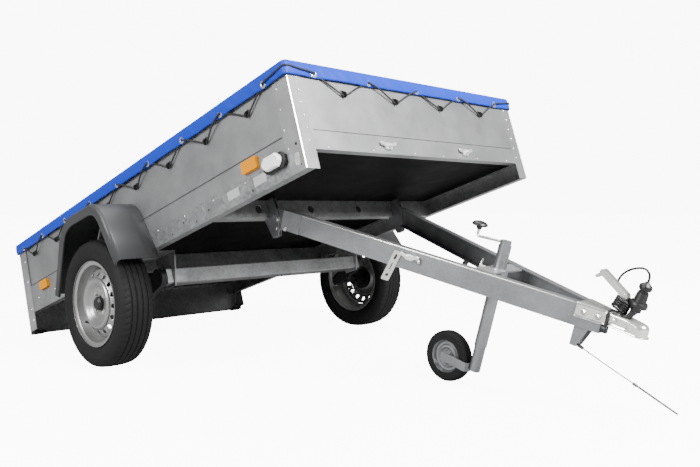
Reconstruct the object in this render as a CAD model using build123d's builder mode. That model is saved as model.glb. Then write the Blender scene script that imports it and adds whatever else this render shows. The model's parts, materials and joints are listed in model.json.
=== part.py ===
"""Tipping single-axle utility trailer, parked with its bed tipped back.

Three frames are used. The trailer frame has +X towards the coupling, +Y to the left and +Z up.
Pieces of the bed are drawn level, about the axle's centre line, and pieces of the drawbar are
drawn level, about the bed hinge. seat() then puts each of them in its own frame.
"""
import os
from math import asin, atan, atan2, cos, degrees, hypot, pi, radians, sin, sqrt, tan

from build123d import *

os.makedirs("parts", exist_ok=True)

# ---------------------------------------------------------------------------------------------
# Driving dimensions, in millimetres and degrees
# ---------------------------------------------------------------------------------------------
gap = 0.3                      # clearance between pieces that lie close but do not touch
pin_clearance = 0.05           # radial clearance of a running pin
swing_clearance = 5.0          # clearance of pieces that swing past each other

# Wheels
tyre_radius = 273.5            # 155/70 R13
tyre_width = 155.0
tyre_wall = 9.0
tyre_shoulder = 24.0
wheel_gap = 25.5               # between a tyre and its side rail
bead_radius = 164.0
rim_flange_radius = 182.0
rim_width = 132.0              # over both flanges
rim_thickness = 3.0
rim_lip = 10.0                 # each flange's turned-out lip
rim_well_radius = 146.0
rim_offset = 30.0              # mounting face outboard of the centre plane
rim_centre_bore = 29.0
rim_vent_count = 16
rim_vent_radius = 8.5
rim_vent_circle = 118.0
hub_radius = 38.0
hub_flange_radius = 62.0
hub_flange_thickness = 9.0
hub_length = 68.0
hub_cap_length = 26.0
spindle_radius = 17.0

# Bed, level, about the axle's centre line
bed_front = 1276.0             # outer face of the front panel
bed_rear = -1053.0             # outer face of the rear beam
bed_half_width = 686.0         # outer face of the side rails
rail_bottom = 160.0
rail_height = 77.0
rail_flange = 40.0
rail_sheet = 2.0
wall_height = 313.0            # above the rails
wall_sheet = 1.5
wall_band = 65.0               # height of the stepped-out lower band
wall_step = 3.0                # depth of that step
wall_foot = 30.0               # flange under the floor board
rim_fold = 10.0                # top edge folded outwards
rim_drop = 20.0
front_panel_drop = 5.0         # front panel's lower edge below the rails' top
floor_thickness = 12.0
post_sheet = 2.0
post_side = 82.0
post_end = 61.0
rear_post_bottom = 68.0
bumper_height = 17.2
bumper_length = 46.0
cross_member_front = 700.0     # front face of the hinge cross member
cross_member_middle = -160.0
cross_member_flange = 42.0
cross_member_sheet = 3.0
lightening_hole = 17.0         # radius of the round holes in the hinge cross member
rear_beam_bottom = 55.0
rear_beam_flange = 40.0
rear_beam_sheet = 2.0

# Axle
beam_size = 70.0
beam_wall = 4.0
beam_x = 165.0
beam_z = 56.0
beam_overhang = 34.0           # of the beam past each bracket
axle_bracket_inset = 120.0     # behind the side rail's face
axle_bracket_length = 150.0
axle_bracket_sheet = 5.0
axle_bracket_drop = 12.0       # below the beam
axle_bracket_cut = 34.0        # sloped off each lower corner
axle_bracket_ledge = 20.0      # upright end above that slope
arm_thickness = 28.0
arm_beam_radius = 40.0
arm_spindle_radius = 28.0

# Mudguards
guard_width = 188.0
guard_wall = 3.0
guard_lip = 45.0
guard_outline = [              # x, z and corner radius of the outer edge
    (-310.0, 114.0, 0.0),
    (-142.0, 412.0, 85.0),
    (197.0, 402.0, 70.0),
    (308.0, 113.0, 0.0),
]

# Cover
cover_sheet = 1.5
cover_skirt = 55.0
cover_corner = 22.0
hook_radius = 11.0
hook_depth = 16.0
hook_drop = 93.0               # below the walls' top edge
side_hook_front = 236.0        # first side hook behind the front panel
side_hook_rear = 199.5         # last side hook ahead of the rear beam
side_hook_count = 8
front_hook_inset = 257.0       # end front hooks inside the bed's width
front_hook_count = 4

# Lamps
marker_length = 88.0
marker_height = 44.0
marker_depth = 14.0
marker_radius = 5.0
marker_front = 276.0           # front marker behind the front panel
marker_rear = 259.0            # rear marker ahead of the rear beam
lamp_length = 120.0
lamp_height = 56.0
lamp_depth = 22.0
lamp_base_depth = 14.0
lamp_setback = 142.0           # behind the front panel
lamp_drop = 9.0                # centre below the rails' top
lamp_cut = 16.0                # cut off each corner
lamp_rim = 2.0                 # of the base around the lens
rear_lamp_length = 190.0
rear_lamp_height = 68.0
rear_lamp_depth = 38.0
rear_lamp_radius = 12.0
rear_lamp_rise = 9.0           # centre above the rear beam's middle
rear_lamp_inset = 186.0        # centre inside the bed's width

# Tailgate
tailgate_depth = 25.0
tailgate_side_gap = 5.0
tailgate_hinge_inset = 266.0   # hinge middle inside the bed's width
knuckle_radius = 10.0
knuckle_length = 36.0
knuckle_gap = 1.0
hinge_pin_radius = 5.0
hinge_leaf = 3.0
hinge_leaf_height = 60.0       # on the tailgate
hinge_leaf_drop = 50.0         # on the rear beam
latch_width = 26.0
latch_height = 70.0
latch_depth = 8.0

# Bed hinge, level, about the axle's centre line
hinge_x = 735.0
hinge_z = 159.0
hinge_pin_radius_bed = 8.0
pin_gap = 1.0                  # side play between an ear and a lug
pin_head = 8.0
ear_thickness = 5.0
ear_radius = 22.0
ear_drop = 85.0
ear_reach = 26.0
ear_lip = 10.0
lug_thickness = 6.0
lug_radius = 24.0
lug_length = 125.0
front_latch_y = 230.0
front_latch_rise = 25.0
front_latch_length = 64.0
front_latch_height = 34.0
front_latch_sheet = 3.0
front_latch_peg = 7.0
front_latch_reach = 22.0

# Drawbar, level, about the bed hinge
arm_height = 80.0
arm_flange = 38.0
arm_sheet = 3.0
arm_top = 37.0
arm_rear_y = 398.0
arm_front_y = 28.0
arm_length = 1282.0
arm_rear_end = 45.0            # the arms' rear ends stand this far ahead of the hinge
coupling_lap = 90.0            # of the coupling over the arms' front ends
coupling_sheet = 4.0
coupling_base = 0.0
ball_reach = 124.0             # ball's centre ahead of the arms
ball_radius = 25.2
socket_wall = 8.0
socket_mouth = 14.0            # straight wall below the ball's centre
socket_lip = 6.0
lever_reach = 50.0             # lever's pivot ahead of the arms
lever_pivot_z = 74.0
lever_length = 128.0
lever_rise = 42.0              # degrees above the drawbar
lever_width = 34.0
lever_foot = 22.0
lever_depth = 16.0
bracket_setback = 37.0         # behind the arms' front ends
bracket_length = 53.0
bracket_drop = 75.0
bracket_width = 50.0
bracket_sheet = 4.0
bracket_taper = 30.0
strap_x = 552.0
strap_width = 33.0
strap_length = 133.0
strap_sheet = 3.0
strap_depth = 12.0
strap_top = 20.0

# Jack, along the drawbar's own upright
jack_x = 842.0
jack_tube_radius = 24.0
jack_tube_wall = 2.5
jack_tube_bottom = -275.0
jack_tube_top = 125.0
jack_cap_radius = 21.0
jack_cap_height = 17.0
jack_inner_bottom = -378.0
jack_inner_length = 195.0
jack_lift = 150.0
clamp_radius = 34.0
clamp_height = 60.0
clamp_plate = 5.0
crank_rod_radius = 6.0
crank_reach = 130.0
crank_rise = 16.0
crank_turn_up = 26.0
knob_radius = 26.0
knob_height = 30.0
fork_trail = 128.0
fork_drop = -371.0
fork_sheet = 5.0
fork_width = 70.0
fork_height = 34.0
fork_neck = 2.0
jockey_radius = 100.0
jockey_width = 48.0
jockey_rim_radius = 64.0
jockey_pin_radius = 8.0
jockey_shoulder = 14.0
holder_stem_radius = 14.0

# Plug and its holder
plug_reach = 102.0             # plug's axis ahead of the arms
plug_bottom = 84.0
plug_radius = 23.0
plug_length = 78.0

# ---------------------------------------------------------------------------------------------
# Sizes and places that follow
# ---------------------------------------------------------------------------------------------
axle_height = tyre_radius
rail_top = rail_bottom + rail_height
wall_top = rail_top + wall_height
wheel_y = bed_half_width + wheel_gap + tyre_width / 2

# Places that follow the bed's outline
beam_half_length = bed_half_width - axle_bracket_inset + beam_overhang
axle_bracket_y = bed_half_width - axle_bracket_inset
rear_lamp_z = (rear_beam_bottom + rail_bottom) / 2 + rear_lamp_rise
rear_lamp_y = bed_half_width - rear_lamp_inset
tailgate_hinge_y = bed_half_width - tailgate_hinge_inset
lamp_x = bed_front - lamp_setback
marker_rows = [bed_front - marker_front, bed_rear + marker_rear]
side_hook_first = bed_front - side_hook_front
side_hook_pitch = (side_hook_first - bed_rear - side_hook_rear) / (side_hook_count - 1)
front_hook_pitch = 2 * (bed_half_width - front_hook_inset) / (front_hook_count - 1)

# Places that follow the drawbar's arms
coupling_rear = arm_length - coupling_lap
ball_x = arm_length + ball_reach
lever_pivot_x = arm_length + lever_reach
bracket_front = arm_length - bracket_setback
bracket_rear = bracket_front - bracket_length
plug_x = arm_length + plug_reach

# The bed tips until its rear bumpers stand on the ground
bumper_z = rear_post_bottom - bumper_height
post_rear = bed_rear - post_sheet
bed_tilt = asin(axle_height / hypot(post_rear, bumper_z)) + atan2(bumper_z, -post_rear)
BED = Location((0, 0, axle_height), (0, -degrees(bed_tilt), 0))

# The drawbar slopes down until its jockey wheel stands on the ground
hinge_world_x = hinge_x * cos(bed_tilt) - hinge_z * sin(bed_tilt)
hinge_world_z = axle_height + hinge_x * sin(bed_tilt) + hinge_z * cos(bed_tilt)
jockey_x = jack_x - fork_trail
drawbar_slope = asin((hinge_world_z - jockey_radius) / hypot(jockey_x, fork_drop)) - atan2(
    -fork_drop, jockey_x
)
DRAWBAR = Location((hinge_world_x, 0, hinge_world_z), (0, degrees(drawbar_slope), 0))
WHEEL = Location((0, 0, axle_height))

arm_bottom = arm_top - arm_height
arm_splay = atan((arm_rear_y - arm_front_y) / arm_length)

finished = []                  # every piece in its place, in the order of the list below


def seat(piece, label, frame):
    """Put a finished piece in its frame and keep it under its label."""
    placed = piece.part.moved(frame)
    placed.label = label
    finished.append(placed)


def sheet(points, thickness):
    """Fill the section of a folded sheet in the open sketch, on its outline's left side.

    A negative thickness lies on the right side. Each fold is a plain mitre.
    """
    runs = [(Vector(*b) - Vector(*a)).normalized() for a, b in zip(points, points[1:])]
    lefts = [Vector(-run.Y, run.X) for run in runs]
    back = []
    for point, before, after in zip(points, [lefts[0]] + lefts, lefts + [lefts[-1]]):
        mitre = (before + after) * (1 / (1 + before.dot(after)))
        back.append(Vector(*point) + mitre * thickness)
    Polygon(*[Vector(*point) for point in points], *reversed(back), align=None)


def arm_face_y(x):
    """Half-width over the drawbar arms' webs at a place along the drawbar."""
    return arm_rear_y - x * tan(arm_splay)


# ---------------------------------------------------------------------------------------------
# Wheels
# ---------------------------------------------------------------------------------------------
def make_tyre(side):
    centre = side * wheel_y
    half = tyre_width / 2
    bead = rim_width / 2 - rim_lip - gap
    lip_radius = rim_flange_radius + gap
    belly_radius = (tyre_radius + bead_radius) / 2 + gap
    cavity_height = tyre_radius - bead_radius - 2 * tyre_wall
    with BuildPart() as tyre:
        with BuildSketch(Plane.YZ) as section:
            with BuildLine():
                crown = Line((centre - half + tyre_shoulder, tyre_radius),
                             (centre + half - tyre_shoulder, tyre_radius))
                for hand in (-1, 1):
                    edge = crown @ 0 if hand < 0 else crown @ 1
                    shoulder = (centre + hand * (half - tyre_wall / 2),
                                tyre_radius - tyre_shoulder / 2)
                    Polyline(edge, shoulder, (centre + hand * half, belly_radius),
                             (centre + hand * (half - tyre_wall), lip_radius + tyre_wall),
                             (centre + hand * bead, lip_radius),
                             (centre + hand * bead, bead_radius))
                Line((centre - bead, bead_radius), (centre + bead, bead_radius))
            make_face()
            with Locations((centre, bead_radius + cavity_height / 2 + tyre_wall / 2)):
                RectangleRounded(tyre_width - 4 * tyre_wall, cavity_height, cavity_height / 3,
                                 mode=Mode.SUBTRACT)
            with Locations((centre, bead_radius + tyre_wall)):
                Rectangle(2 * bead - 4 * tyre_wall, 4 * tyre_wall, mode=Mode.SUBTRACT)
        revolve(axis=Axis.Y)
    return tyre


def make_rim(side):
    """Steel disc wheel: a well-base barrel with a pressed, vented disc welded in."""
    centre = side * wheel_y
    half = rim_width / 2
    seat_radius = bead_radius - gap
    face = rim_offset * side
    barrel = [                 # distance from the centre plane, radius
        (-half, rim_flange_radius),
        (-half + rim_lip, rim_flange_radius),
        (-half + rim_lip, seat_radius),
        (-26, seat_radius - 3),
        (-16, rim_well_radius),
        (16, rim_well_radius),
        (26, seat_radius - 3),
        (half - rim_lip, seat_radius),
        (half - rim_lip, rim_flange_radius),
        (half, rim_flange_radius),
    ]
    inner = rim_well_radius - rim_thickness
    disc = [
        (rim_centre_bore, face),
        (hub_flange_radius, face),
        (hub_flange_radius + 14, face + side * 14),
        (rim_vent_circle - 22, face + side * 14),
        (rim_vent_circle + 14, face - side * 4),
        (inner - 4, face - side * 18),
    ]
    with BuildPart() as rim:
        with BuildSketch(Plane.YZ):
            sheet([(centre + y, z) for y, z in barrel], -rim_thickness)
        revolve(axis=Axis.Y)
        with BuildSketch(Plane.YZ):
            sheet([(centre + y, z) for z, y in disc], side * rim_thickness)
            with BuildLine():
                edge = centre + face - side * 18
                Polyline((edge, inner - 6), (edge, inner + 1), (edge - side * 12, inner + 1),
                         (edge - side * 12, inner - 2), (edge - side * 3, inner - 2),
                         (edge - side * 3, inner - 6), close=True)
            make_face()
        revolve(axis=Axis.Y)
        with Locations(Location((0, centre, 0), (90, 0, 0))):
            with PolarLocations(rim_vent_circle, rim_vent_count):
                Cylinder(rim_vent_radius, rim_width, mode=Mode.SUBTRACT)
    return rim


def make_hub(side):
    """Hub with its bolt flange and closed grease cap, bored for the spindle."""
    face = wheel_y + rim_offset - rim_thickness
    outline = [                # radius, distance from the trailer's centre plane
        (0, face - hub_length),
        (hub_radius, face - hub_length),
        (hub_radius, face - hub_flange_thickness),
        (hub_flange_radius, face - hub_flange_thickness),
        (hub_flange_radius, face),
        (rim_centre_bore - gap, face),
        (rim_centre_bore - gap, face + hub_cap_length - 8),
        (rim_centre_bore - 8, face + hub_cap_length),
        (0, face + hub_cap_length),
    ]
    bore_end = face
    with BuildPart() as hub:
        with BuildSketch(Plane.YZ):
            with BuildLine():
                Polyline(*[(side * y, r) for r, y in outline], close=True)
            make_face()
            with BuildLine():
                bore = spindle_radius + pin_clearance
                Polyline((side * (face - hub_length), 0), (side * (face - hub_length), bore),
                         (side * bore_end, bore), (side * bore_end, 0), close=True)
            make_face(mode=Mode.SUBTRACT)
        revolve(axis=Axis.Y)
    return hub


for side, hand in ((-1, "right"), (1, "left")):
    seat(make_tyre(side), f"tyre_{hand}", WHEEL)
    seat(make_rim(side), f"rim_{hand}", WHEEL)
    seat(make_hub(side), f"hub_{hand}", WHEEL)

# ---------------------------------------------------------------------------------------------
# Bed: walls, rails, posts and floor
# ---------------------------------------------------------------------------------------------
panel_front = bed_front - wall_sheet
floor_base = rail_top + wall_sheet
floor_top = floor_base + floor_thickness
tailgate_inner = post_rear + tailgate_depth
tailgate_bottom = floor_base + 2 * swing_clearance
tailgate_half = bed_half_width + post_sheet - post_end - tailgate_side_gap
knuckle_x = post_rear - knuckle_radius
knuckle_z = rail_top
tailgate_top = knuckle_z + sqrt((wall_top - knuckle_z - swing_clearance) ** 2
                                - (tailgate_inner - knuckle_x) ** 2)
floor_rear = knuckle_x + swing_clearance + hypot(tailgate_inner - knuckle_x,
                                                 tailgate_bottom - knuckle_z)

wall_profile = [               # outwards from the wall's upper face, up from the rails' top
    (-wall_foot + wall_step, 0),
    (wall_step, 0),
    (wall_step, wall_band - wall_step),
    (0, wall_band),
    (0, wall_height - wall_sheet),
    (rim_fold + wall_step - wall_sheet, wall_height - wall_sheet),
    (rim_fold + wall_step - wall_sheet, wall_height - rim_drop),
]

for side, hand in ((-1, "right"), (1, "left")):
    with BuildPart() as side_panel:
        with BuildSketch(Plane.YZ.offset(bed_rear)):
            sheet([(side * (bed_half_width - wall_step + y), rail_top + z)
                   for y, z in wall_profile], side * wall_sheet)
        extrude(amount=panel_front - bed_rear)
    seat(side_panel, f"side_panel_{hand}", BED)

front_profile = [              # forwards from the panel's upper face, up from its lower edge
    (-wall_foot, 0),
    (0, 0),
    (0, front_panel_drop + wall_height - wall_sheet),
    (rim_fold - wall_sheet, front_panel_drop + wall_height - wall_sheet),
    (rim_fold - wall_sheet, front_panel_drop + wall_height - rim_drop),
]
front_half = bed_half_width - rail_flange - swing_clearance
with BuildPart() as front_panel:
    with BuildSketch(Plane.XZ.offset(-bed_half_width)):
        sheet([(bed_front + x, rail_top - front_panel_drop + z)
               for x, z in front_profile], wall_sheet)
    extrude(amount=2 * bed_half_width)
    with BuildSketch(Plane.XY.offset(rail_top - front_panel_drop)):
        for side in (-1, 1):
            with Locations((panel_front - wall_foot, side * (bed_half_width + front_half) / 2)):
                Rectangle(2 * wall_foot, bed_half_width - front_half)
    extrude(amount=front_panel_drop, mode=Mode.SUBTRACT)
seat(front_panel, "front_panel", BED)

with BuildPart() as frame_rails:
    for side in (-1, 1):
        with BuildSketch(Plane.YZ.offset(bed_rear)):
            sheet([(side * (bed_half_width - rail_flange), rail_bottom),
                   (side * bed_half_width, rail_bottom),
                   (side * bed_half_width, rail_top),
                   (side * (bed_half_width - rail_flange), rail_top)], side * rail_sheet)
        extrude(amount=panel_front - bed_rear)
seat(frame_rails, "frame_rails", BED)


def make_posts(end_x, along, bottom):
    """Angle posts that wrap the outside of two corners; along points from the end inwards."""
    with BuildPart() as posts:
        for side in (-1, 1):
            outer = side * (bed_half_width + post_sheet)
            with BuildSketch(Plane.XY.offset(bottom)):
                sheet([(end_x + along * post_side, outer), (end_x, outer),
                       (end_x, outer - side * post_end)], side * along * post_sheet)
            extrude(amount=wall_top - rim_drop - gap - bottom)
    return posts


seat(make_posts(bed_front + post_sheet, -1, rail_bottom), "front_posts", BED)
seat(make_posts(post_rear, 1, rear_post_bottom), "rear_posts", BED)

with BuildPart() as floor:
    inner = bed_half_width - wall_sheet
    with BuildSketch(Plane.XY.offset(floor_base)):
        with Locations(((panel_front + floor_rear) / 2, 0)):
            Rectangle(panel_front - floor_rear, 2 * inner)
    extrude(amount=floor_thickness)
seat(floor, "floor", BED)

# ---------------------------------------------------------------------------------------------
# Bed: cross members and rear beam
# ---------------------------------------------------------------------------------------------
hole_rows = [                  # y and radius factor of the round holes in the hinge member
    (-440.0, 1.0),
    (-150.0, 1.0),
    (150.0, 1.0),
    (440.0, 1.0),
]


def make_cross_member(front, holes):
    """Channel between the rails, its web joggled in between their flanges."""
    between = bed_half_width - rail_flange
    inside = bed_half_width - rail_sheet
    with BuildPart() as member:
        with BuildSketch(Plane.XZ.offset(-between)):
            sheet([(front - cross_member_flange, rail_bottom), (front, rail_bottom),
                   (front, rail_top), (front - cross_member_flange, rail_top)],
                  cross_member_sheet)
        extrude(amount=2 * between)
        with BuildSketch(Plane.XZ.offset(-inside)):
            with Locations((front - cross_member_sheet / 2, rail_bottom + rail_height / 2)):
                Rectangle(cross_member_sheet, rail_height - 2 * rail_sheet)
        extrude(amount=2 * inside)
        if holes:
            with Locations(*[Location((front, y, rail_bottom + rail_height / 2), (0, 90, 0))
                             for y, _ in holes]):
                Cylinder(lightening_hole, 4 * cross_member_sheet, mode=Mode.SUBTRACT)
    return member


seat(make_cross_member(cross_member_front, hole_rows), "cross_member_front", BED)
seat(make_cross_member(cross_member_middle, []), "cross_member_middle", BED)

with BuildPart() as rear_beam:
    half = bed_half_width
    between = bed_half_width - rail_flange
    with BuildSketch(Plane.XZ.offset(-half)):
        sheet([(bed_rear + rear_beam_flange, rear_beam_bottom), (bed_rear, rear_beam_bottom),
               (bed_rear, rail_bottom)], -rear_beam_sheet)
    extrude(amount=2 * half)
    with BuildSketch(Plane.YZ.offset(post_rear)):
        for side in (-1, 1):
            with Locations((side * (half + post_sheet - post_end / 2), rear_post_bottom)):
                Rectangle(post_end + 2 * gap, 2 * bumper_height, align=(Align.CENTER, Align.MAX))
    extrude(amount=2 * rear_beam_flange, mode=Mode.SUBTRACT)
    with BuildSketch(Plane.XZ.offset(-between)):
        with Locations((bed_rear + rear_beam_sheet / 2, (rail_bottom + rail_top) / 2)):
            Rectangle(rear_beam_sheet, rail_height)
        with Locations((bed_rear + rear_beam_flange / 2, rail_top - rear_beam_sheet / 2)):
            Rectangle(rear_beam_flange, rear_beam_sheet)
    extrude(amount=2 * between)
seat(rear_beam, "rear_beam", BED)

with BuildPart() as rear_bumpers:
    for side in (-1, 1):
        with BuildSketch(Plane.XY.offset(bumper_z)):
            with Locations((post_rear + bumper_length / 2,
                            side * (bed_half_width + post_sheet - post_end / 2))):
                Rectangle(bumper_length, post_end)
        extrude(amount=bumper_height)
seat(rear_bumpers, "rear_bumpers", BED)

with BuildPart() as rear_lamps:
    for side in (-1, 1):
        with BuildSketch(Plane.YZ.offset(bed_rear)):
            with Locations((side * rear_lamp_y, rear_lamp_z)):
                RectangleRounded(rear_lamp_length, rear_lamp_height, rear_lamp_radius)
        extrude(amount=-rear_lamp_depth)
seat(rear_lamps, "rear_lamps", BED)

# ---------------------------------------------------------------------------------------------
# Axle
# ---------------------------------------------------------------------------------------------
with BuildPart() as axle_beam:
    with BuildSketch(Plane.XZ.offset(-beam_half_length)):
        with Locations((beam_x, beam_z)):
            RectangleRounded(beam_size, beam_size, 2 * beam_wall)
            RectangleRounded(beam_size - 2 * beam_wall, beam_size - 2 * beam_wall, beam_wall,
                             mode=Mode.SUBTRACT)
    extrude(amount=2 * beam_half_length)
seat(axle_beam, "axle_beam", BED)

with BuildPart() as axle_brackets:
    for side in (-1, 1):
        inner = side * (bed_half_width - rail_sheet)
        with BuildSketch(Plane.YZ.offset(beam_x - axle_bracket_length / 2)):
            sheet([(side * axle_bracket_y, beam_z - beam_size / 2 - axle_bracket_drop),
                   (side * axle_bracket_y, rail_bottom),
                   (inner, rail_bottom)], -side * axle_bracket_sheet)
        extrude(amount=axle_bracket_length)
    with BuildSketch(Plane.XZ.offset(-bed_half_width)):
        with Locations((beam_x, beam_z)):
            RectangleRounded(beam_size, beam_size, 2 * beam_wall)
    extrude(amount=2 * bed_half_width, mode=Mode.SUBTRACT)
    with BuildSketch(Plane.XZ.offset(-bed_half_width)):
        for end in (-1, 1):
            corner = beam_x + end * axle_bracket_length / 2
            foot = beam_z - beam_size / 2 - axle_bracket_drop
            with BuildLine():
                Polyline((corner, foot), (corner - end * axle_bracket_cut, foot),
                         (corner, rail_bottom - axle_bracket_sheet - axle_bracket_ledge),
                         close=True)
            make_face()
    extrude(amount=2 * bed_half_width, mode=Mode.SUBTRACT)
seat(axle_brackets, "axle_brackets", BED)

with BuildPart() as swing_arms:
    for side in (-1, 1):
        with BuildSketch(Plane.XZ.offset(-side * (beam_half_length + gap))):
            with Locations((beam_x, beam_z)):
                Circle(arm_beam_radius)
            Circle(arm_spindle_radius)
            reach = hypot(beam_x, beam_z)
            lean = atan2(beam_z, beam_x)
            spread = asin((arm_beam_radius - arm_spindle_radius) / reach)
            up = lean + pi / 2 + spread
            down = lean - pi / 2 - spread
            with BuildLine():
                Polyline((arm_spindle_radius * cos(up), arm_spindle_radius * sin(up)),
                         (beam_x + arm_beam_radius * cos(up), beam_z + arm_beam_radius * sin(up)),
                         (beam_x + arm_beam_radius * cos(down),
                          beam_z + arm_beam_radius * sin(down)),
                         (arm_spindle_radius * cos(down), arm_spindle_radius * sin(down)),
                         close=True)
            make_face()
        extrude(amount=-side * arm_thickness)
        with BuildSketch(Plane.XZ.offset(-side * (beam_half_length + arm_thickness))):
            Circle(spindle_radius)
        extrude(amount=-side * (wheel_y + rim_offset - rim_thickness - gap - beam_half_length
                                - arm_thickness - swing_clearance))
seat(swing_arms, "swing_arms", BED)

# ---------------------------------------------------------------------------------------------
# Mudguards
# ---------------------------------------------------------------------------------------------
for side, hand in ((-1, "right"), (1, "left")):
    guard_outer_y = bed_half_width + guard_width
    with BuildPart() as mudguard:
        with BuildSketch(Plane.XZ.offset(-side * bed_half_width)):
            with BuildLine():
                FilletPolyline(*[(x, z) for x, z, _ in guard_outline],
                               radius=[r for _, _, r in guard_outline[1:-1]])
                offset(amount=guard_wall, side=Side.RIGHT, kind=Kind.INTERSECTION)
            make_face()
        extrude(amount=-side * guard_width)
        with BuildSketch(Plane.XZ.offset(-side * (guard_outer_y - guard_wall))):
            with BuildLine():
                FilletPolyline(*[(x, z) for x, z, _ in guard_outline],
                               radius=[r for _, _, r in guard_outline[1:-1]])
                offset(amount=guard_lip, side=Side.RIGHT, kind=Kind.INTERSECTION)
            make_face()
        extrude(amount=-side * guard_wall)
    seat(mudguard, f"mudguard_{hand}", BED)

# ---------------------------------------------------------------------------------------------
# Cover
# ---------------------------------------------------------------------------------------------
cover_front = bed_front + rim_fold + gap
cover_half = bed_half_width + rim_fold + gap
cover_rear = post_rear - 8.0
with BuildPart() as cover:
    with BuildSketch(Plane.XY.offset(wall_top)):
        with Locations(((cover_front + cover_rear) / 2, 0)):
            Rectangle(cover_front - cover_rear + 2 * cover_sheet,
                      2 * (cover_half + cover_sheet))
    extrude(amount=cover_sheet)
    with BuildSketch(Plane.XY.offset(wall_top - cover_skirt)):
        sheet([(cover_rear, -cover_half), (cover_front, -cover_half), (cover_front, cover_half),
               (cover_rear, cover_half)], -cover_sheet)
    extrude(amount=cover_skirt)
seat(cover, "cover", BED)

with BuildPart() as cover_rear_flap:
    with BuildSketch(Plane.XY.offset(wall_top - cover_skirt)):
        with Locations((cover_rear - cover_sheet / 2, 0)):
            Rectangle(cover_sheet, 2 * (cover_half + cover_sheet))
    extrude(amount=cover_skirt)
seat(cover_rear_flap, "cover_rear_flap", BED)

hook_z = wall_top - hook_drop
with BuildPart() as cover_hooks:
    for side in (-1, 1):
        wall_y = side * (bed_half_width - wall_step)
        for number in range(side_hook_count):
            with BuildSketch(Plane.XZ.offset(-wall_y)):
                with Locations((side_hook_first - number * side_hook_pitch, hook_z)):
                    Circle(hook_radius)
            extrude(amount=-side * hook_depth)
    for number in range(front_hook_count):
        with BuildSketch(Plane.YZ.offset(bed_front)):
            with Locations(((number - (front_hook_count - 1) / 2) * front_hook_pitch, hook_z)):
                Circle(hook_radius)
        extrude(amount=hook_depth)
seat(cover_hooks, "cover_hooks", BED)

# ---------------------------------------------------------------------------------------------
# Lamps and reflectors
# ---------------------------------------------------------------------------------------------
with BuildPart() as side_markers:
    for side in (-1, 1):
        with BuildSketch(Plane.XZ.offset(-side * bed_half_width)):
            with Locations(*[(x, rail_top + wall_band / 2) for x in marker_rows]):
                RectangleRounded(marker_length, marker_height, marker_radius)
        extrude(amount=-side * marker_depth)
seat(side_markers, "side_markers", BED)


def octagon_points(length, height, cut):
    """Corners of a rectangle with its four corners cut off, about the origin."""
    x, z = length / 2, height / 2
    return [(-x + cut, -z), (x - cut, -z), (x, -z + cut), (x, z - cut),
            (x - cut, z), (-x + cut, z), (-x, z - cut), (-x, -z + cut)]


def make_front_lamps(inner_y, depth, shrink):
    with BuildPart() as lamps:
        for side in (-1, 1):
            with BuildSketch(Plane.XZ.offset(-side * inner_y)):
                with BuildLine():
                    Polyline(*[(lamp_x + x, rail_top - lamp_drop + z) for x, z in octagon_points(
                        lamp_length - shrink, lamp_height - shrink, lamp_cut)], close=True)
                make_face()
            extrude(amount=-side * depth)
    return lamps


seat(make_front_lamps(bed_half_width, lamp_base_depth, 0), "front_lamp_bases", BED)
seat(make_front_lamps(bed_half_width + lamp_base_depth, lamp_depth, 2 * lamp_rim), "front_lamps", BED)

# ---------------------------------------------------------------------------------------------
# Tailgate and its hinges
# ---------------------------------------------------------------------------------------------
with BuildPart() as tailgate:
    with BuildSketch(Plane.XZ.offset(-tailgate_half)):
        sheet([(tailgate_inner, tailgate_bottom), (post_rear, tailgate_bottom),
               (post_rear, tailgate_top), (tailgate_inner, tailgate_top),
               (tailgate_inner, tailgate_top - rim_drop)], -wall_sheet)
    extrude(amount=2 * tailgate_half)
    for side in (-1, 1):
        with BuildSketch(Plane.YZ.offset(post_rear)):
            with Locations((side * (tailgate_half - wall_sheet / 2),
                            (tailgate_bottom + tailgate_top) / 2)):
                Rectangle(wall_sheet, tailgate_top - tailgate_bottom)
        extrude(amount=tailgate_depth)
seat(tailgate, "tailgate", BED)

with BuildPart() as tailgate_knuckles:
    for side in (-1, 1):
        start = side * tailgate_hinge_y + knuckle_length / 2
        with BuildSketch(Plane.XZ.offset(-start)):
            with Locations((knuckle_x, knuckle_z)):
                Circle(knuckle_radius)
            with BuildLine():
                leaf = post_rear - hinge_leaf
                top = tailgate_bottom + hinge_leaf_height
                Polyline((leaf, knuckle_z), (post_rear, tailgate_bottom), (post_rear, top),
                         (leaf, top), close=True)
            make_face()
            with Locations((knuckle_x, knuckle_z)):
                Circle(hinge_pin_radius + pin_clearance, mode=Mode.SUBTRACT)
        extrude(amount=knuckle_length)
seat(tailgate_knuckles, "tailgate_knuckles", BED)

with BuildPart() as hinge_pins:
    end_length = knuckle_length / 2
    for side in (-1, 1):
        for end in (-1, 1):
            middle = side * tailgate_hinge_y + end * (
                knuckle_length / 2 + knuckle_gap + end_length / 2)
            with BuildSketch(Plane.XZ.offset(-middle - end_length / 2)):
                with Locations((knuckle_x, knuckle_z)):
                    Circle(knuckle_radius)
                with BuildLine():
                    foot = knuckle_z - hinge_leaf_drop
                    Polyline((knuckle_x, knuckle_z), (bed_rear, knuckle_z), (bed_rear, foot),
                             (bed_rear - hinge_leaf, foot),
                             (knuckle_x, knuckle_z - knuckle_radius), close=True)
                make_face()
            extrude(amount=end_length)
        with BuildSketch(Plane.XZ.offset(
                -side * tailgate_hinge_y - knuckle_length - knuckle_gap)):
            with Locations((knuckle_x, knuckle_z)):
                Circle(hinge_pin_radius)
        extrude(amount=2 * (knuckle_length + knuckle_gap))
seat(hinge_pins, "tailgate_hinge_pins", BED)

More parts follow.
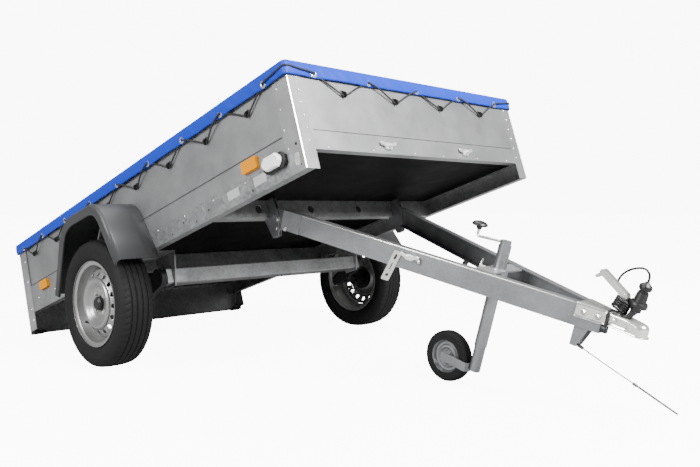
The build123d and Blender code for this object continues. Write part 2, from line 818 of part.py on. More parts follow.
with BuildPart() as tailgate_latches:
    for side in (-1, 1):
        with BuildSketch(Plane.XZ.offset(-side * (tailgate_half - latch_width))):
            with Locations((post_rear, tailgate_top - cover_skirt - latch_height / 2)):
                Rectangle(latch_depth, latch_height, align=(Align.MAX, Align.CENTER))
        extrude(amount=-side * latch_width)
seat(tailgate_latches, "tailgate_latches", BED)

# ---------------------------------------------------------------------------------------------
# Bed hinge: ears under the hinge cross member, with the drawbar's lugs between them
# ---------------------------------------------------------------------------------------------
lug_y = arm_face_y(arm_rear_end)
ear_inner_y = lug_y - pin_gap
ear_outer_y = lug_y + lug_thickness + pin_gap
member_face = cross_member_front - hinge_x
member_base = rail_bottom - hinge_z
ear_outline = [                # forwards and up from the hinge pin
    (member_face, member_base + rail_height - cross_member_sheet),
    (ear_radius / 2, member_base + rail_height - cross_member_sheet),
    (ear_radius, ear_radius),
    (ear_radius, -ear_radius),
    (0, -ear_drop),
    (member_face, -ear_drop),
    (member_face - ear_reach, member_base - ear_lip),
    (member_face - ear_reach, member_base),
    (member_face, member_base),
]
with BuildPart() as hinge_ears:
    for side in (-1, 1):
        for inner, outer in ((ear_inner_y - ear_thickness, ear_inner_y),
                             (ear_outer_y, ear_outer_y + ear_thickness)):
            with BuildSketch(Plane.XZ.offset(-side * inner)):
                with BuildLine():
                    Polyline(*[(hinge_x + x, hinge_z + z) for x, z in ear_outline], close=True)
                make_face()
            extrude(amount=-side * (outer - inner))
        with BuildSketch(Plane.XZ.offset(-side * (ear_inner_y - ear_thickness - pin_head))):
            with Locations((hinge_x, hinge_z)):
                Circle(hinge_pin_radius_bed)
        extrude(amount=-side * (ear_outer_y - ear_inner_y + 2 * ear_thickness + 2 * pin_head))
seat(hinge_ears, "hinge_ears", BED)

with BuildPart() as front_latches:
    for side in (-1, 1):
        with BuildSketch(Plane.YZ.offset(bed_front)):
            with Locations((side * front_latch_y, rail_top + front_latch_rise)):
                RectangleRounded(front_latch_length, front_latch_height, front_latch_height / 4)
        extrude(amount=front_latch_sheet)
        with BuildSketch(Plane.YZ.offset(bed_front + front_latch_sheet)):
            with Locations((side * front_latch_y, rail_top + front_latch_rise)):
                Circle(front_latch_peg)
        extrude(amount=front_latch_reach)
seat(front_latches, "front_latches", BED)

# ---------------------------------------------------------------------------------------------
# Drawbar
# ---------------------------------------------------------------------------------------------
half_arm = arm_height / 2
for side, hand in ((-1, "right"), (1, "left")):
    across = Plane(origin=(0, side * arm_rear_y, arm_top - half_arm),
                   x_dir=(side * sin(arm_splay), cos(arm_splay), 0),
                   z_dir=(cos(arm_splay), -side * sin(arm_splay), 0))
    with BuildPart() as arm:
        with BuildSketch(across):
            sheet([(-side * arm_flange, -half_arm), (0, -half_arm), (0, half_arm),
                   (-side * arm_flange, half_arm)], side * arm_sheet)
        extrude(amount=arm_length / cos(arm_splay) + arm_flange)
        split(bisect_by=Plane.YZ.offset(arm_length), keep=Keep.BOTTOM)
        split(bisect_by=Plane.YZ.offset(arm_rear_end), keep=Keep.TOP)
        split(bisect_by=Plane.XZ, keep=Keep.BOTTOM if side > 0 else Keep.TOP)
    seat(arm, f"drawbar_arm_{hand}", DRAWBAR)

lug_outline = [                # forwards and up from the hinge pin
    (-lug_radius, lug_radius),
    (-lug_radius / 2, arm_top),
    (lug_length, arm_top),
    (lug_length, arm_bottom),
    (arm_rear_end, arm_bottom),
    (lug_radius, -ear_drop),
    (-lug_radius, -ear_drop + lug_radius),
]
with BuildPart() as hinge_lugs:
    for side in (-1, 1):
        with BuildSketch(Plane.XY.offset(-ear_drop)):
            sheet([(-lug_radius, side * lug_y), (arm_rear_end, side * lug_y),
                   (lug_length, side * arm_face_y(lug_length))], side * lug_thickness)
        extrude(amount=ear_drop + arm_top)
    with BuildSketch(Plane.XZ.offset(-arm_rear_y - lug_thickness)):
        with BuildLine():
            Polyline(*lug_outline, close=True)
        make_face()
        Circle(hinge_pin_radius_bed + pin_clearance, mode=Mode.SUBTRACT)
    extrude(amount=2 * (arm_rear_y + lug_thickness), mode=Mode.INTERSECT)
seat(hinge_lugs, "hinge_lugs", DRAWBAR)

with BuildPart() as latch_straps:
    for side in (-1, 1):
        hang = Plane(origin=(strap_x, side * arm_face_y(strap_x), strap_top),
                     x_dir=(cos(arm_splay), -side * sin(arm_splay), 0), z_dir=(0, 0, 1))
        with BuildSketch(hang):
            sheet([(-strap_width / 2, side * strap_depth), (-strap_width / 2, 0),
                   (strap_width / 2, 0), (strap_width / 2, side * strap_depth)],
                  side * strap_sheet)
        extrude(amount=-strap_length)
seat(latch_straps, "latch_straps", DRAWBAR)

with BuildPart() as hitch_bracket:
    with BuildSketch(Plane.YZ.offset(bracket_rear)):
        sheet([(-bracket_width / 2, arm_bottom), (-bracket_width / 2, arm_bottom - bracket_drop),
               (bracket_width / 2, arm_bottom - bracket_drop),
               (bracket_width / 2, arm_bottom)], bracket_sheet)
    extrude(amount=bracket_front - bracket_rear)
    with BuildSketch(Plane.XZ.offset(-bracket_width)):
        with BuildLine():
            Polyline((bracket_front, arm_bottom), (bracket_front, arm_bottom - bracket_drop),
                     (bracket_front - bracket_taper, arm_bottom - bracket_drop), close=True)
        make_face()
    extrude(amount=2 * bracket_width, mode=Mode.SUBTRACT)
seat(hitch_bracket, "hitch_bracket", DRAWBAR)

# ---------------------------------------------------------------------------------------------
# Coupling: pressed body that straddles the arms' front ends, with the ball socket in its nose
# ---------------------------------------------------------------------------------------------
coupling_top = arm_top + coupling_sheet
ball_z = coupling_base + socket_mouth
nose_radius = ball_radius + socket_wall


def coupling_plan(inset):
    """Half-widths along the coupling, drawn in by an inset."""
    wide = arm_face_y(coupling_rear) + coupling_sheet - inset
    narrow = arm_front_y + coupling_sheet - inset
    front = ball_x - inset
    return [(coupling_rear, wide), (arm_length, narrow), (front, narrow),
            (front, -narrow), (arm_length, -narrow), (coupling_rear, -wide)]


with BuildPart() as coupling:
    with BuildSketch(Plane.XY.offset(coupling_base)):
        Polygon(*coupling_plan(0), align=None)
    extrude(amount=coupling_top - coupling_base)
    fillet(coupling.faces().sort_by(Axis.Z)[-1].edges().filter_by(Axis.X), coupling_sheet)
    with BuildSketch(Plane.XY.offset(coupling_base)):
        Polygon(*[(x - (ball_radius + socket_wall if x > arm_length else 0), y)
                  for x, y in coupling_plan(coupling_sheet)], align=None)
    extrude(amount=arm_top - coupling_base, mode=Mode.SUBTRACT)
    with Locations((ball_x, 0, coupling_base)):
        Cylinder(nose_radius, socket_mouth, align=(Align.CENTER, Align.CENTER, Align.MIN))
        Cylinder(nose_radius + socket_lip, coupling_sheet,
                 align=(Align.CENTER, Align.CENTER, Align.MIN))
    with Locations((ball_x, 0, ball_z)):
        Sphere(nose_radius, arc_size1=0, align=(Align.CENTER, Align.CENTER, Align.MIN))
        Sphere(ball_radius, mode=Mode.SUBTRACT)
    with Locations((ball_x, 0, coupling_base)):
        Cylinder(ball_radius, socket_mouth, align=(Align.CENTER, Align.CENTER, Align.MIN),
                 mode=Mode.SUBTRACT)
seat(coupling, "coupling", DRAWBAR)

lever_tip = (lever_pivot_x - lever_length * cos(radians(lever_rise)),
             lever_pivot_z + lever_length * sin(radians(lever_rise)))
with BuildPart() as coupling_lever:
    with BuildSketch(Plane.XZ.offset(-lever_width / 2)):
        with BuildLine():
            Polyline((lever_pivot_x - lever_foot, coupling_top),
                     (lever_pivot_x + lever_foot, coupling_top),
                     (lever_pivot_x + lever_depth, lever_pivot_z),
                     (lever_tip[0] + lever_depth, lever_tip[1] + lever_depth / 2),
                     lever_tip,
                     (lever_pivot_x - lever_depth, lever_pivot_z), close=True)
        make_face()
    extrude(amount=lever_width)
seat(coupling_lever, "coupling_lever", DRAWBAR)

with BuildPart() as plug_holder:
    with BuildSketch(Plane.XY.offset(coupling_top)):
        with Locations((plug_x, 0)):
            Circle(holder_stem_radius)
    extrude(amount=plug_bottom - coupling_top)
    with Locations((ball_x, 0, ball_z)):
        Sphere(nose_radius, mode=Mode.SUBTRACT)
seat(plug_holder, "plug_holder", DRAWBAR)

with BuildPart() as cable_plug:
    with BuildSketch(Plane.XY.offset(plug_bottom)):
        with Locations((plug_x, 0)):
            Circle(plug_radius)
    extrude(amount=plug_length)
seat(cable_plug, "cable_plug", DRAWBAR)

# ---------------------------------------------------------------------------------------------
# Jack
# ---------------------------------------------------------------------------------------------
with BuildPart() as jack_clamp:
    with BuildSketch(Plane.XY.offset(arm_top - clamp_height)):
        with Locations((jack_x, 0)):
            Circle(clamp_radius)
            Circle(jack_tube_radius + pin_clearance, mode=Mode.SUBTRACT)
    extrude(amount=clamp_height)
    with BuildSketch(Plane.XY.offset(arm_top - arm_sheet - clamp_plate)):
        rear, front = jack_x - clamp_radius, jack_x + clamp_radius
        web = arm_sheet / cos(arm_splay) + gap
        Polygon((rear, arm_face_y(rear) - web), (front, arm_face_y(front) - web),
                (front, web - arm_face_y(front)), (rear, web - arm_face_y(rear)), align=None)
        with Locations((jack_x, 0)):
            Circle(jack_tube_radius + pin_clearance, mode=Mode.SUBTRACT)
    extrude(amount=clamp_plate)
seat(jack_clamp, "jack_clamp", DRAWBAR)

with BuildPart() as jack_tube:
    with BuildSketch(Plane.XY.offset(jack_tube_bottom)):
        with Locations((jack_x, 0)):
            Circle(jack_tube_radius)
            Circle(jack_tube_radius - jack_tube_wall, mode=Mode.SUBTRACT)
    extrude(amount=jack_tube_top - jack_tube_bottom)
    with BuildSketch(Plane.XY.offset(jack_tube_top)):
        with Locations((jack_x, 0)):
            Circle(jack_cap_radius)
    extrude(amount=jack_cap_height)
    with BuildSketch(Plane.XY.offset(jack_tube_top)):
        with Locations((jack_x, 0)):
            Circle(jack_tube_radius)
    extrude(amount=-jack_tube_wall)
seat(jack_tube, "jack_tube", DRAWBAR)

crank_lean = atan2(crank_rise, crank_reach - jack_cap_radius)
crank_start = jack_x - jack_cap_radius - crank_rod_radius * sin(crank_lean) - pin_clearance
crank_end = jack_x - crank_reach
crank_z = jack_tube_top + jack_cap_height / 2
with BuildPart() as jack_crank:
    with BuildLine() as crank_path:
        FilletPolyline((crank_start, 0, crank_z), (crank_end, 0, crank_z + crank_rise),
                       (crank_end, 0, crank_z + crank_rise + crank_turn_up),
                       radius=2 * crank_rod_radius)
    with BuildSketch(Plane(origin=crank_path.line @ 0, z_dir=crank_path.line % 0)):
        Circle(crank_rod_radius)
    sweep()
seat(jack_crank, "jack_crank", DRAWBAR)

knob_outline = [               # radius and height, as shares of the knob's own
    (0, 0), (0, 1), (0.7, 1), (1, 0.75), (1, 0.55), (0.4, 0.3), (0.4, 0),
]
with BuildPart() as crank_knob:
    with BuildSketch(Plane.XZ):
        base = crank_z + crank_rise + crank_turn_up
        Polygon(*[(crank_end + radius * knob_radius, base + height * knob_height)
                  for radius, height in knob_outline], align=None)
    revolve(axis=Axis((crank_end, 0, 0), (0, 0, 1)))
seat(crank_knob, "crank_knob", DRAWBAR)

with BuildPart() as jack_fork:
    slide_radius = jack_tube_radius - jack_tube_wall - pin_clearance
    with BuildSketch(Plane.XY.offset(jack_inner_bottom)):
        with Locations((jack_x, 0)):
            Circle(slide_radius)
            Circle(slide_radius - jack_tube_wall, mode=Mode.SUBTRACT)
    extrude(amount=jack_inner_length)
    with BuildSketch(Plane.XY.offset(fork_drop - fork_height / 2)):
        tail = jockey_x - fork_height / 2
        half = fork_width / 2
        sheet([(tail, -half), (jack_x - slide_radius - fork_neck, -half),
               (jack_x - slide_radius + fork_sheet, -slide_radius),
               (jack_x - slide_radius + fork_sheet, slide_radius),
               (jack_x - slide_radius - fork_neck, half), (tail, half)], fork_sheet)
    extrude(amount=fork_height)
    with BuildSketch(Plane.XZ.offset(-fork_width / 2)):
        with Locations((jockey_x, fork_drop)):
            Circle(jockey_pin_radius)
    extrude(amount=fork_width)
seat(jack_fork, "jack_fork", DRAWBAR)

with BuildPart() as jockey_tyre:
    with BuildSketch(Plane.XZ.offset(-jockey_width / 2)):
        with Locations((jockey_x, fork_drop)):
            Circle(jockey_radius)
            Circle(jockey_rim_radius, mode=Mode.SUBTRACT)
    extrude(amount=jockey_width)
    fillet(jockey_tyre.edges().filter_by(GeomType.CIRCLE).group_by(SortBy.RADIUS)[-1],
           jockey_shoulder)
seat(jockey_tyre, "jockey_tyre", DRAWBAR)

with BuildPart() as jockey_rim:
    with BuildSketch(Plane.XZ.offset(-jockey_width / 2)):
        with Locations((jockey_x, fork_drop)):
            Circle(jockey_rim_radius)
            Circle(jockey_pin_radius + pin_clearance, mode=Mode.SUBTRACT)
    extrude(amount=jockey_width)
seat(jockey_rim, "jockey_rim", DRAWBAR)

# ---------------------------------------------------------------------------------------------
# The whole trailer stands with the middle of its outline over the origin
# ---------------------------------------------------------------------------------------------
loose = ("safety_cable", "cable_plug", "cable_lead", "cable_coil")
outline = Compound([piece for piece in finished if piece.label not in loose]).bounding_box()
shift_x = -(outline.min.X + outline.max.X) / 2
for piece in finished:
    standing = piece.moved(Location((shift_x, 0, 0)))
    standing.label = piece.label
    export_step(standing, f"parts/{piece.label}.step")

if __name__ == "__main__":
    print(f"{len(finished)} pieces, {outline.size.X:.0f} x {outline.size.Y:.0f} x "
          f"{outline.size.Z:.0f} mm, shifted {shift_x:.2f} mm")
    print(f"bed tipped {degrees(bed_tilt):.2f}, drawbar sloped {degrees(drawbar_slope):.2f} degrees")
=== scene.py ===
# %% [markdown]
# # A tipping box trailer, dressed on its CAD frame
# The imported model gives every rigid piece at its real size. This notebook adds what the eye sees:
# zinc, lacquer, rubber and tarpaulin, the tread, the laced cover, bolts and cables. Each step says
# what a piece is on the real trailer, how it could be made, and why it is made as it is.

# %% Load the frame
import json
import math

import bmesh
import bpy
import numpy as np
from mathutils import Matrix, Vector


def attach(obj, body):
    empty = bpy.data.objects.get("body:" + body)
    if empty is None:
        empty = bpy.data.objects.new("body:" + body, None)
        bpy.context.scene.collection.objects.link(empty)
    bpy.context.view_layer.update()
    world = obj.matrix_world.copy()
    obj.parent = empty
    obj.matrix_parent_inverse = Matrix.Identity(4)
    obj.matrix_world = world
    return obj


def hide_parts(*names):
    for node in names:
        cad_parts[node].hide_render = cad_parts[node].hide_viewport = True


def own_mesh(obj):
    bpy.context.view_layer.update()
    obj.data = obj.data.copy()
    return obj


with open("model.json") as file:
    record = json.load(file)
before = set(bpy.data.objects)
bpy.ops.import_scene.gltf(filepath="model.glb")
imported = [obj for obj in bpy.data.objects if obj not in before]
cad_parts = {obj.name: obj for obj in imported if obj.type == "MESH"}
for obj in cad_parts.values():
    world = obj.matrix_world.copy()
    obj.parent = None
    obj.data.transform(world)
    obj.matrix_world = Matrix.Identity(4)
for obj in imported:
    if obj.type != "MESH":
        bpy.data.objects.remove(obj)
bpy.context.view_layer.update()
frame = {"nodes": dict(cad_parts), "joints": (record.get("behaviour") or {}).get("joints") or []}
nodes = frame["nodes"]
joints = {joint["name"]: joint for joint in frame["joints"]}
random = np.random.default_rng(7)
print(len(nodes), "CAD nodes")

# %% [markdown]
# ## Two level drawing boards
# The bed is tipped back and the drawbar slopes down. Every point could be worked out in the tipped
# frame, but then no size would be a round one, so each piece is drawn level, in millimetres, on a
# board. A board has an origin and a slope read from the joints, and `place` tips its points into
# the scene, in metres. LEVEL is not tipped, and WORLD starts at the scene's own origin.

# %% Boards
MM = 0.001
slide_axis = joints["jack_slide"]["axis"]
DRAWBAR_SLOPE = math.atan2(slide_axis[0], slide_axis[2])
BED_TILT = math.radians(joints["drawbar_hinge"]["range_deg"][1]) - DRAWBAR_SLOPE
AXLE = np.array(joints["wheel_right_spin"]["pos_m"]) * (1, 0, 1)
HINGE = np.array(joints["drawbar_hinge"]["pos_m"])


def board(origin, climb):
    """Origin and the three directions of a level board whose +X climbs by an angle."""
    along = (math.cos(climb), 0, math.sin(climb))
    up = (-math.sin(climb), 0, math.cos(climb))
    return np.array(origin), np.array([along, (0, 1, 0), up])


BED = board(AXLE, BED_TILT)
BAR = board(HINGE, -DRAWBAR_SLOPE)
LEVEL = board(AXLE, 0)
WORLD = (np.zeros(3), np.eye(3))


def place(points, where):
    """Points on a board, in millimetres, turned into scene metres: origin + x, y and z steps."""
    origin, directions = where
    return origin + np.asarray(points, float) * MM @ directions


print("bed tipped", round(math.degrees(BED_TILT), 2), "degrees")

# %% [markdown]
# ## The camera
# The camera stands low in front of the trailer's right corner and looks almost level, so the
# tipped bed shows its underside. It could be aimed at a target, but a place, two angles and a lens
# are easier to set again. Its place is measured from the axle and its lens from the wheels'
# outline.

# %% Camera
CAMERA_PLACE = (3041.3, -2407.4, 686.8 - AXLE[2] / MM)
CAMERA_AZIMUTH = math.radians(-45.88)
CAMERA_HEIGHT = math.radians(1.96)
CAMERA_ROLL = math.radians(-0.09)
LENS = 39.16
IMAGE_SHIFT = (-0.0023, -0.0013)

back = Vector((math.cos(CAMERA_AZIMUTH) * math.cos(CAMERA_HEIGHT),
               math.sin(CAMERA_AZIMUTH) * math.cos(CAMERA_HEIGHT), math.sin(CAMERA_HEIGHT)))
camera_data = bpy.data.cameras.new("camera")
camera_data.lens = LENS
camera_data.shift_x, camera_data.shift_y = IMAGE_SHIFT
camera = bpy.data.objects.new("camera", camera_data)
turn = back.to_track_quat("Z", "Y").to_matrix().to_4x4() @ Matrix.Rotation(CAMERA_ROLL, 4, "Z")
camera.matrix_world = Matrix.Translation(place(CAMERA_PLACE, LEVEL)) @ turn
bpy.context.scene.collection.objects.link(camera)
bpy.context.scene.camera = camera
print("camera", round((camera.location - Vector(AXLE)).length, 2), "m from the axle")

# %% [markdown]
# ## Colours, nodes and a first material
# A hex value is how a maker writes a colour, but light adds up in linear numbers, so one function
# turns every colour over. Node trees could be wired by hand in the shader editor, where a reader
# can't follow the order. Here `add` puts in one node with its settings and links, and `surface`
# starts a material from the Principled shader, which covers zinc as well as rubber.

# %% Colours, nodes and materials
def linear(hex_colour):
    """A colour's sRGB hex value as linear RGBA: the sRGB curve, taken on the three channels."""
    channels = np.array([int(hex_colour[i:i + 2], 16) for i in (1, 3, 5)]) / 255
    low, high = channels / 12.92, ((channels + 0.055) / 1.055) ** 2.4
    return (*np.where(channels <= 0.04045, low, high), 1.0)


def add(material, kind, inputs=None, **settings):
    """One node with its settings; an input is a number or colour, or another node's output."""
    tree = material.node_tree
    node = tree.nodes.new(kind)
    for name, value in settings.items():
        setattr(node, name, value)
    for name, value in (inputs or {}).items():
        if isinstance(value, bpy.types.NodeSocket):
            tree.links.new(value, node.inputs[name])
        else:
            node.inputs[name].default_value = value
    return node


def surface(name, colour, roughness, **settings):
    """A material with one Principled shader, its colour, roughness and other sockets set."""
    material = bpy.data.materials.new(name)
    material.use_nodes = True
    material.diffuse_color = linear(colour)
    shader = material.node_tree.nodes["Principled BSDF"]
    shader.inputs["Base Color"].default_value = linear(colour)
    shader.inputs["Roughness"].default_value = roughness
    for socket, value in settings.items():
        shader.inputs[socket.replace("_", " ")].default_value = value
    return material, shader


print("half grey #808080 is", round(linear("#808080")[0], 3), "as light")

# %% [markdown]
# ## A studio
# Product shots use large soft lights on a pale sweep. A sky or a room would put its own shapes
# into the zinc, so three square lamps hang in an even world. The key light is over the front right
# corner, so the front panel is bright and the right side a step darker. The floor and the world
# are nearly white in the camera's view, and much dimmer as lights.

# %% Floor and lights
FLOOR_HALF = 60.0              # metres from the floor's middle to each side
FLOOR_GLOW = 10.0              # in the camera's view: a lit sweep that leaves only soft shadows
BACKDROP = 9.5                 # brightness of the backdrop in the camera's view
FILL = 0.34                    # brightness of the same backdrop as a light
# Each lamp's name, place and aim, the side of its square in metres, and its power in watts.
LAMPS = (("key", (5.5, 0.2, 4.0), (0.3, 0, 0.7), 2.2, 1500),
         ("side", (-0.5, -6.5, 3.4), (-0.5, 0, 0.6), 2.4, 760),
         ("top", (-0.5, 0.5, 6.5), (-0.3, 0, 0), 4.0, 420))

floor_mesh = bpy.data.meshes.new("floor")
corners = FLOOR_HALF * np.array([(-1, -1, 0), (1, -1, 0), (1, 1, 0), (-1, 1, 0)])
floor_mesh.from_pydata(corners.tolist(), [], [(0, 1, 2, 3)])
floor = bpy.data.objects.new("studio_floor", floor_mesh)
bpy.context.scene.collection.objects.link(floor)
floor_paint, floor_shader = surface("studio_floor_paint", "#9a9a9a", 0.9)
floor_shader.inputs["Emission Color"].default_value = linear("#ffffff")
seen = add(floor_paint, "ShaderNodeLightPath")
glow = add(floor_paint, "ShaderNodeMath", {0: seen.outputs["Is Camera Ray"], 1: FLOOR_GLOW},
           operation="MULTIPLY")
floor_paint.node_tree.links.new(glow.outputs[0], floor_shader.inputs["Emission Strength"])
floor_mesh.materials.append(floor_paint)

world = bpy.data.worlds.new("studio")
bpy.context.scene.world = world
world.use_nodes = True
world.node_tree.nodes["Background"].inputs["Color"].default_value = linear("#ffffff")
seen = add(world, "ShaderNodeLightPath")
strength = add(world, "ShaderNodeMapRange", {"Value": seen.outputs["Is Camera Ray"],
                                             "To Min": FILL, "To Max": BACKDROP})
world.node_tree.links.new(strength.outputs[0],
                          world.node_tree.nodes["Background"].inputs["Strength"])

for name, place_m, aim_m, size, power in LAMPS:
    light_data = bpy.data.lights.new(name, "AREA")
    light_data.shape = "SQUARE"
    light_data.size = size
    light_data.energy = power
    light = bpy.data.objects.new(name, light_data)
    facing = (Vector(aim_m) - Vector(place_m)).to_track_quat("-Z", "Y").to_matrix().to_4x4()
    light.matrix_world = Matrix.Translation(place_m) @ facing
    bpy.context.scene.collection.objects.link(light)
print("studio lamps", len(bpy.data.lights))

# %% [markdown]
# ## Zinc
# The frame is dipped in molten zinc, which freezes into flat crystals a centimetre across, each a
# little lighter or darker than the next. Noise has no edges and a picture would repeat, but a
# Voronoi texture grows cells from seeds, as zinc does. The walls are rolled sheet, whose grain is
# finer than the render shows, so it is drawn as coarse as it needs to be.

# %% Zinc materials
SPANGLE_SIZE = 9.0             # millimetres across a crystal on the dipped rails
SHEET_GRAIN = 1.6              # millimetres across a grain of the coated sheet
CLOUD_SIZE = 1000 / 9          # millimetres: nine clouds of grey to a metre


def zinc(name, dark, light, crystal, roughness, spread, bump):
    """Zinc whose crystals differ in tone: Voronoi cells mix a dark and a light grey."""
    material, shader = surface(name, light, roughness, Metallic=0.85)
    place_node = add(material, "ShaderNodeTexCoord")
    cells = add(material, "ShaderNodeTexVoronoi", {"Vector": place_node.outputs["Object"],
                                                  "Scale": 1 / (crystal * MM)})
    clouds = add(material, "ShaderNodeTexNoise", {"Vector": place_node.outputs["Object"],
                                                 "Scale": 1 / (CLOUD_SIZE * MM),
                                                 "Detail": 4.0})
    tone = add(material, "ShaderNodeSeparateColor", {"Color": cells.outputs["Color"]})
    blend = add(material, "ShaderNodeMath", {0: tone.outputs[0], 1: spread}, operation="MULTIPLY")
    shade = add(material, "ShaderNodeMath", {0: clouds.outputs["Fac"], 1: blend.outputs[0]},
                operation="ADD")
    ramp = add(material, "ShaderNodeMapRange", {"Value": shade.outputs[0], "From Min": 0.35,
                                                "From Max": 0.65 + spread})
    mix = add(material, "ShaderNodeMix", {"Factor": ramp.outputs[0]}, data_type="RGBA")
    mix.inputs[6].default_value = linear(dark)
    mix.inputs[7].default_value = linear(light)
    swing = 0.5 * spread * roughness
    gloss = add(material, "ShaderNodeMapRange", {"Value": tone.outputs[1],
                                                 "To Min": roughness - swing,
                                                 "To Max": roughness + swing})
    relief = add(material, "ShaderNodeBump", {"Strength": bump, "Distance": 0.0004,
                                              "Height": tone.outputs[2]})
    links = material.node_tree.links
    links.new(mix.outputs[2], shader.inputs["Base Color"])
    links.new(gloss.outputs[0], shader.inputs["Roughness"])
    links.new(relief.outputs["Normal"], shader.inputs["Normal"])
    return material


# Thick dipped zinc: large pale and dark crystals that break up each reflection.
dipped_zinc = zinc("hot_dipped_zinc", "#858687", "#a6a7a8", SPANGLE_SIZE, 0.42, 0.4, 0.1)
# Rolled coated sheet: an even satin grey, with a grain drawn coarse enough to show.
coated_sheet = zinc("zinc_coated_sheet", "#8d8e8f", "#a8a9aa", SHEET_GRAIN, 0.42, 0.25, 0.05)
# Dipped zinc on smooth thick steel: quiet and a step darker than the walls.
arm_zinc = zinc("smooth_dipped_zinc", "#77787a", "#8d8e90", 6.0, 0.42, 0.2, 0.04)
# Galvanised strip, folded: the brightest zinc, which draws the corners.
post_zinc = zinc("galvanised_strip", "#a7a8a9", "#c3c4c5", 2.2, 0.34, 0.2, 0.03)
# Galvanised steel wire: dull and dark enough to read against a pale floor.
rope_zinc = zinc("galvanised_steel_rope", "#505152", "#77787a", 1.0, 0.45, 0.2, 0.02)
# Die-cast zinc: small whitish shapes that stand out from the sheet behind them.
latch_zinc = zinc("cast_zinc", "#dcdcda", "#f2f2f0", 2.0, 0.35, 0.1, 0.02)
# Bright zinc plate: a hard, clean shine on bolts, straps and the coupling.
bright_zinc = zinc("bright_zinc_plate", "#c2c2bf", "#e6e6e2", 3.0, 0.22, 0.2, 0.02)
print("crystals", SPANGLE_SIZE, "mm across, sheet grain", SHEET_GRAIN, "mm")

# %% [markdown]
# ## Lacquer, rubber and plastics
# Wheel lacquer is a metallic paint under a clear coat, tyre rubber is soot black and matte, and
# the mudguards are polypropylene with a pebbled face. One flat colour and gloss would look like a
# toy, and painted maps would have to be unwrapped. Each gets a fine bump from its grain size, and
# a gloss that wanders a little.

# %% Lacquer, rubber and plastics
WEAR_SIZE = 1000 / 7           # millimetres: seven patches of wear to a metre
WANDER = 0.06                  # how far a patch's roughness lies from the mean


def grained(name, colour, roughness, grain, depth, **settings):
    """A moulded or rolled surface: one colour, with a noise bump of a real grain size in mm.

    The shader's own IOR is near enough that of rubber, paint and these plastics.
    """
    material, shader = surface(name, colour, roughness, **settings)
    place_node = add(material, "ShaderNodeTexCoord")
    grit = add(material, "ShaderNodeTexNoise", {"Vector": place_node.outputs["Object"],
                                               "Scale": 1 / (grain * MM), "Detail": 3.0})
    wear = add(material, "ShaderNodeTexNoise", {"Vector": place_node.outputs["Object"],
                                               "Scale": 1 / (WEAR_SIZE * MM),
                                               "Detail": 5.0})
    vary = add(material, "ShaderNodeMapRange", {"Value": wear.outputs["Fac"],
                                                "From Min": 0.3, "From Max": 0.7,
                                                "To Min": roughness - WANDER,
                                                "To Max": roughness + WANDER})
    relief = add(material, "ShaderNodeBump", {"Strength": 0.5, "Distance": depth * MM,
                                              "Height": grit.outputs["Fac"]})
    links = material.node_tree.links
    links.new(vary.outputs[0], shader.inputs["Roughness"])
    links.new(relief.outputs["Normal"], shader.inputs["Normal"])
    return material


# Silver wheel lacquer: a soft metallic sheen with a glossy skin over it.
wheel_lacquer = grained("silver_wheel_lacquer", "#8a8a89", 0.34, 1.2, 0.03, Metallic=0.6,
                        Coat_Weight=0.4, Coat_Roughness=0.15)
# Vulcanised rubber: soot black, greyed only where it faces the light.
tyre_rubber = grained("tyre_rubber", "#0b0b0b", 0.75, 0.9, 0.15, Specular_IOR_Level=0.25)
# Moulded rubber of bumpers and valves: black, with a slightly closer skin.
black_rubber = grained("moulded_rubber", "#0f0f0f", 0.62, 1.0, 0.1)
# Vacuum-formed polypropylene: charcoal with a pebbled haze.
guard_plastic = grained("grained_polypropylene", "#2c2d2e", 0.5, 1.4, 0.35)
# Injection-moulded polypropylene: black with a soft shine along its ribs.
black_plastic = grained("black_polypropylene", "#0b0b0c", 0.42, 0.8, 0.06)
# Birch plywood under a phenolic film: a floor that swallows the light.
film_plywood = grained("film_faced_plywood", "#040404", 0.6, 2.6, 0.2, Specular_IOR_Level=0.05)
# Chassis paint on the axle: black and half glossy.
black_paint = grained("black_chassis_paint", "#0e0f10", 0.45, 2.0, 0.05, Metallic=0.1)
# Moulded polycarbonate, amber: an orange that stays flat, with little shine.
amber_lens = grained("amber_polycarbonate", "#cc8100", 0.5, 2.5, 0.2, Specular_IOR_Level=0.05)
# Moulded polycarbonate, clear, over a white reflector: it looks white.
clear_lens = grained("clear_polycarbonate", "#eef0f2", 0.15, 2.5, 0.3)
# Moulded polycarbonate, red: deep and glossy.
red_lens = grained("red_polycarbonate", "#a3090d", 0.2, 2.5, 0.3)
print(len(bpy.data.materials), "materials so far, with the frame's own")

# %% [markdown]
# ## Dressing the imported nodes
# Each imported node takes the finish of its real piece. They could be dressed one by one, but a
# table of words that their names hold does it in one go, and the longest word that fits wins.

# %% Dress the CAD nodes
FINISHES = {
    "side_panel": coated_sheet, "front_panel": coated_sheet, "tailgate": coated_sheet,
    "frame_rails": dipped_zinc, "posts": post_zinc, "cross_member": dipped_zinc,
    "rear_beam": dipped_zinc, "axle_beam": dipped_zinc, "axle_brackets": dipped_zinc,
    "hinge": arm_zinc, "drawbar_arm": arm_zinc, "latch": bright_zinc,
    "hitch_bracket": arm_zinc, "coupling": bright_zinc, "jack": arm_zinc, "jack_clamp": post_zinc,
    "hub": black_paint, "swing_arms": black_paint, "rim": wheel_lacquer, "tyre": tyre_rubber,
    "mudguard": guard_plastic,
    "crank_knob": black_plastic, "plug": black_plastic, "cover_hooks": black_plastic,
    "front_lamp_bases": black_plastic, "rear_bumpers": black_rubber, "floor": film_plywood,
    "side_markers": amber_lens, "front_lamps": clear_lens, "rear_lamps": red_lens,
}
for name, node in nodes.items():
    matches = [key for key in FINISHES if key in name]
    if matches:
        node.data.materials.clear()
        node.data.materials.append(FINISHES[max(matches, key=len)])
print(len(FINISHES), "words dress the packed nodes")

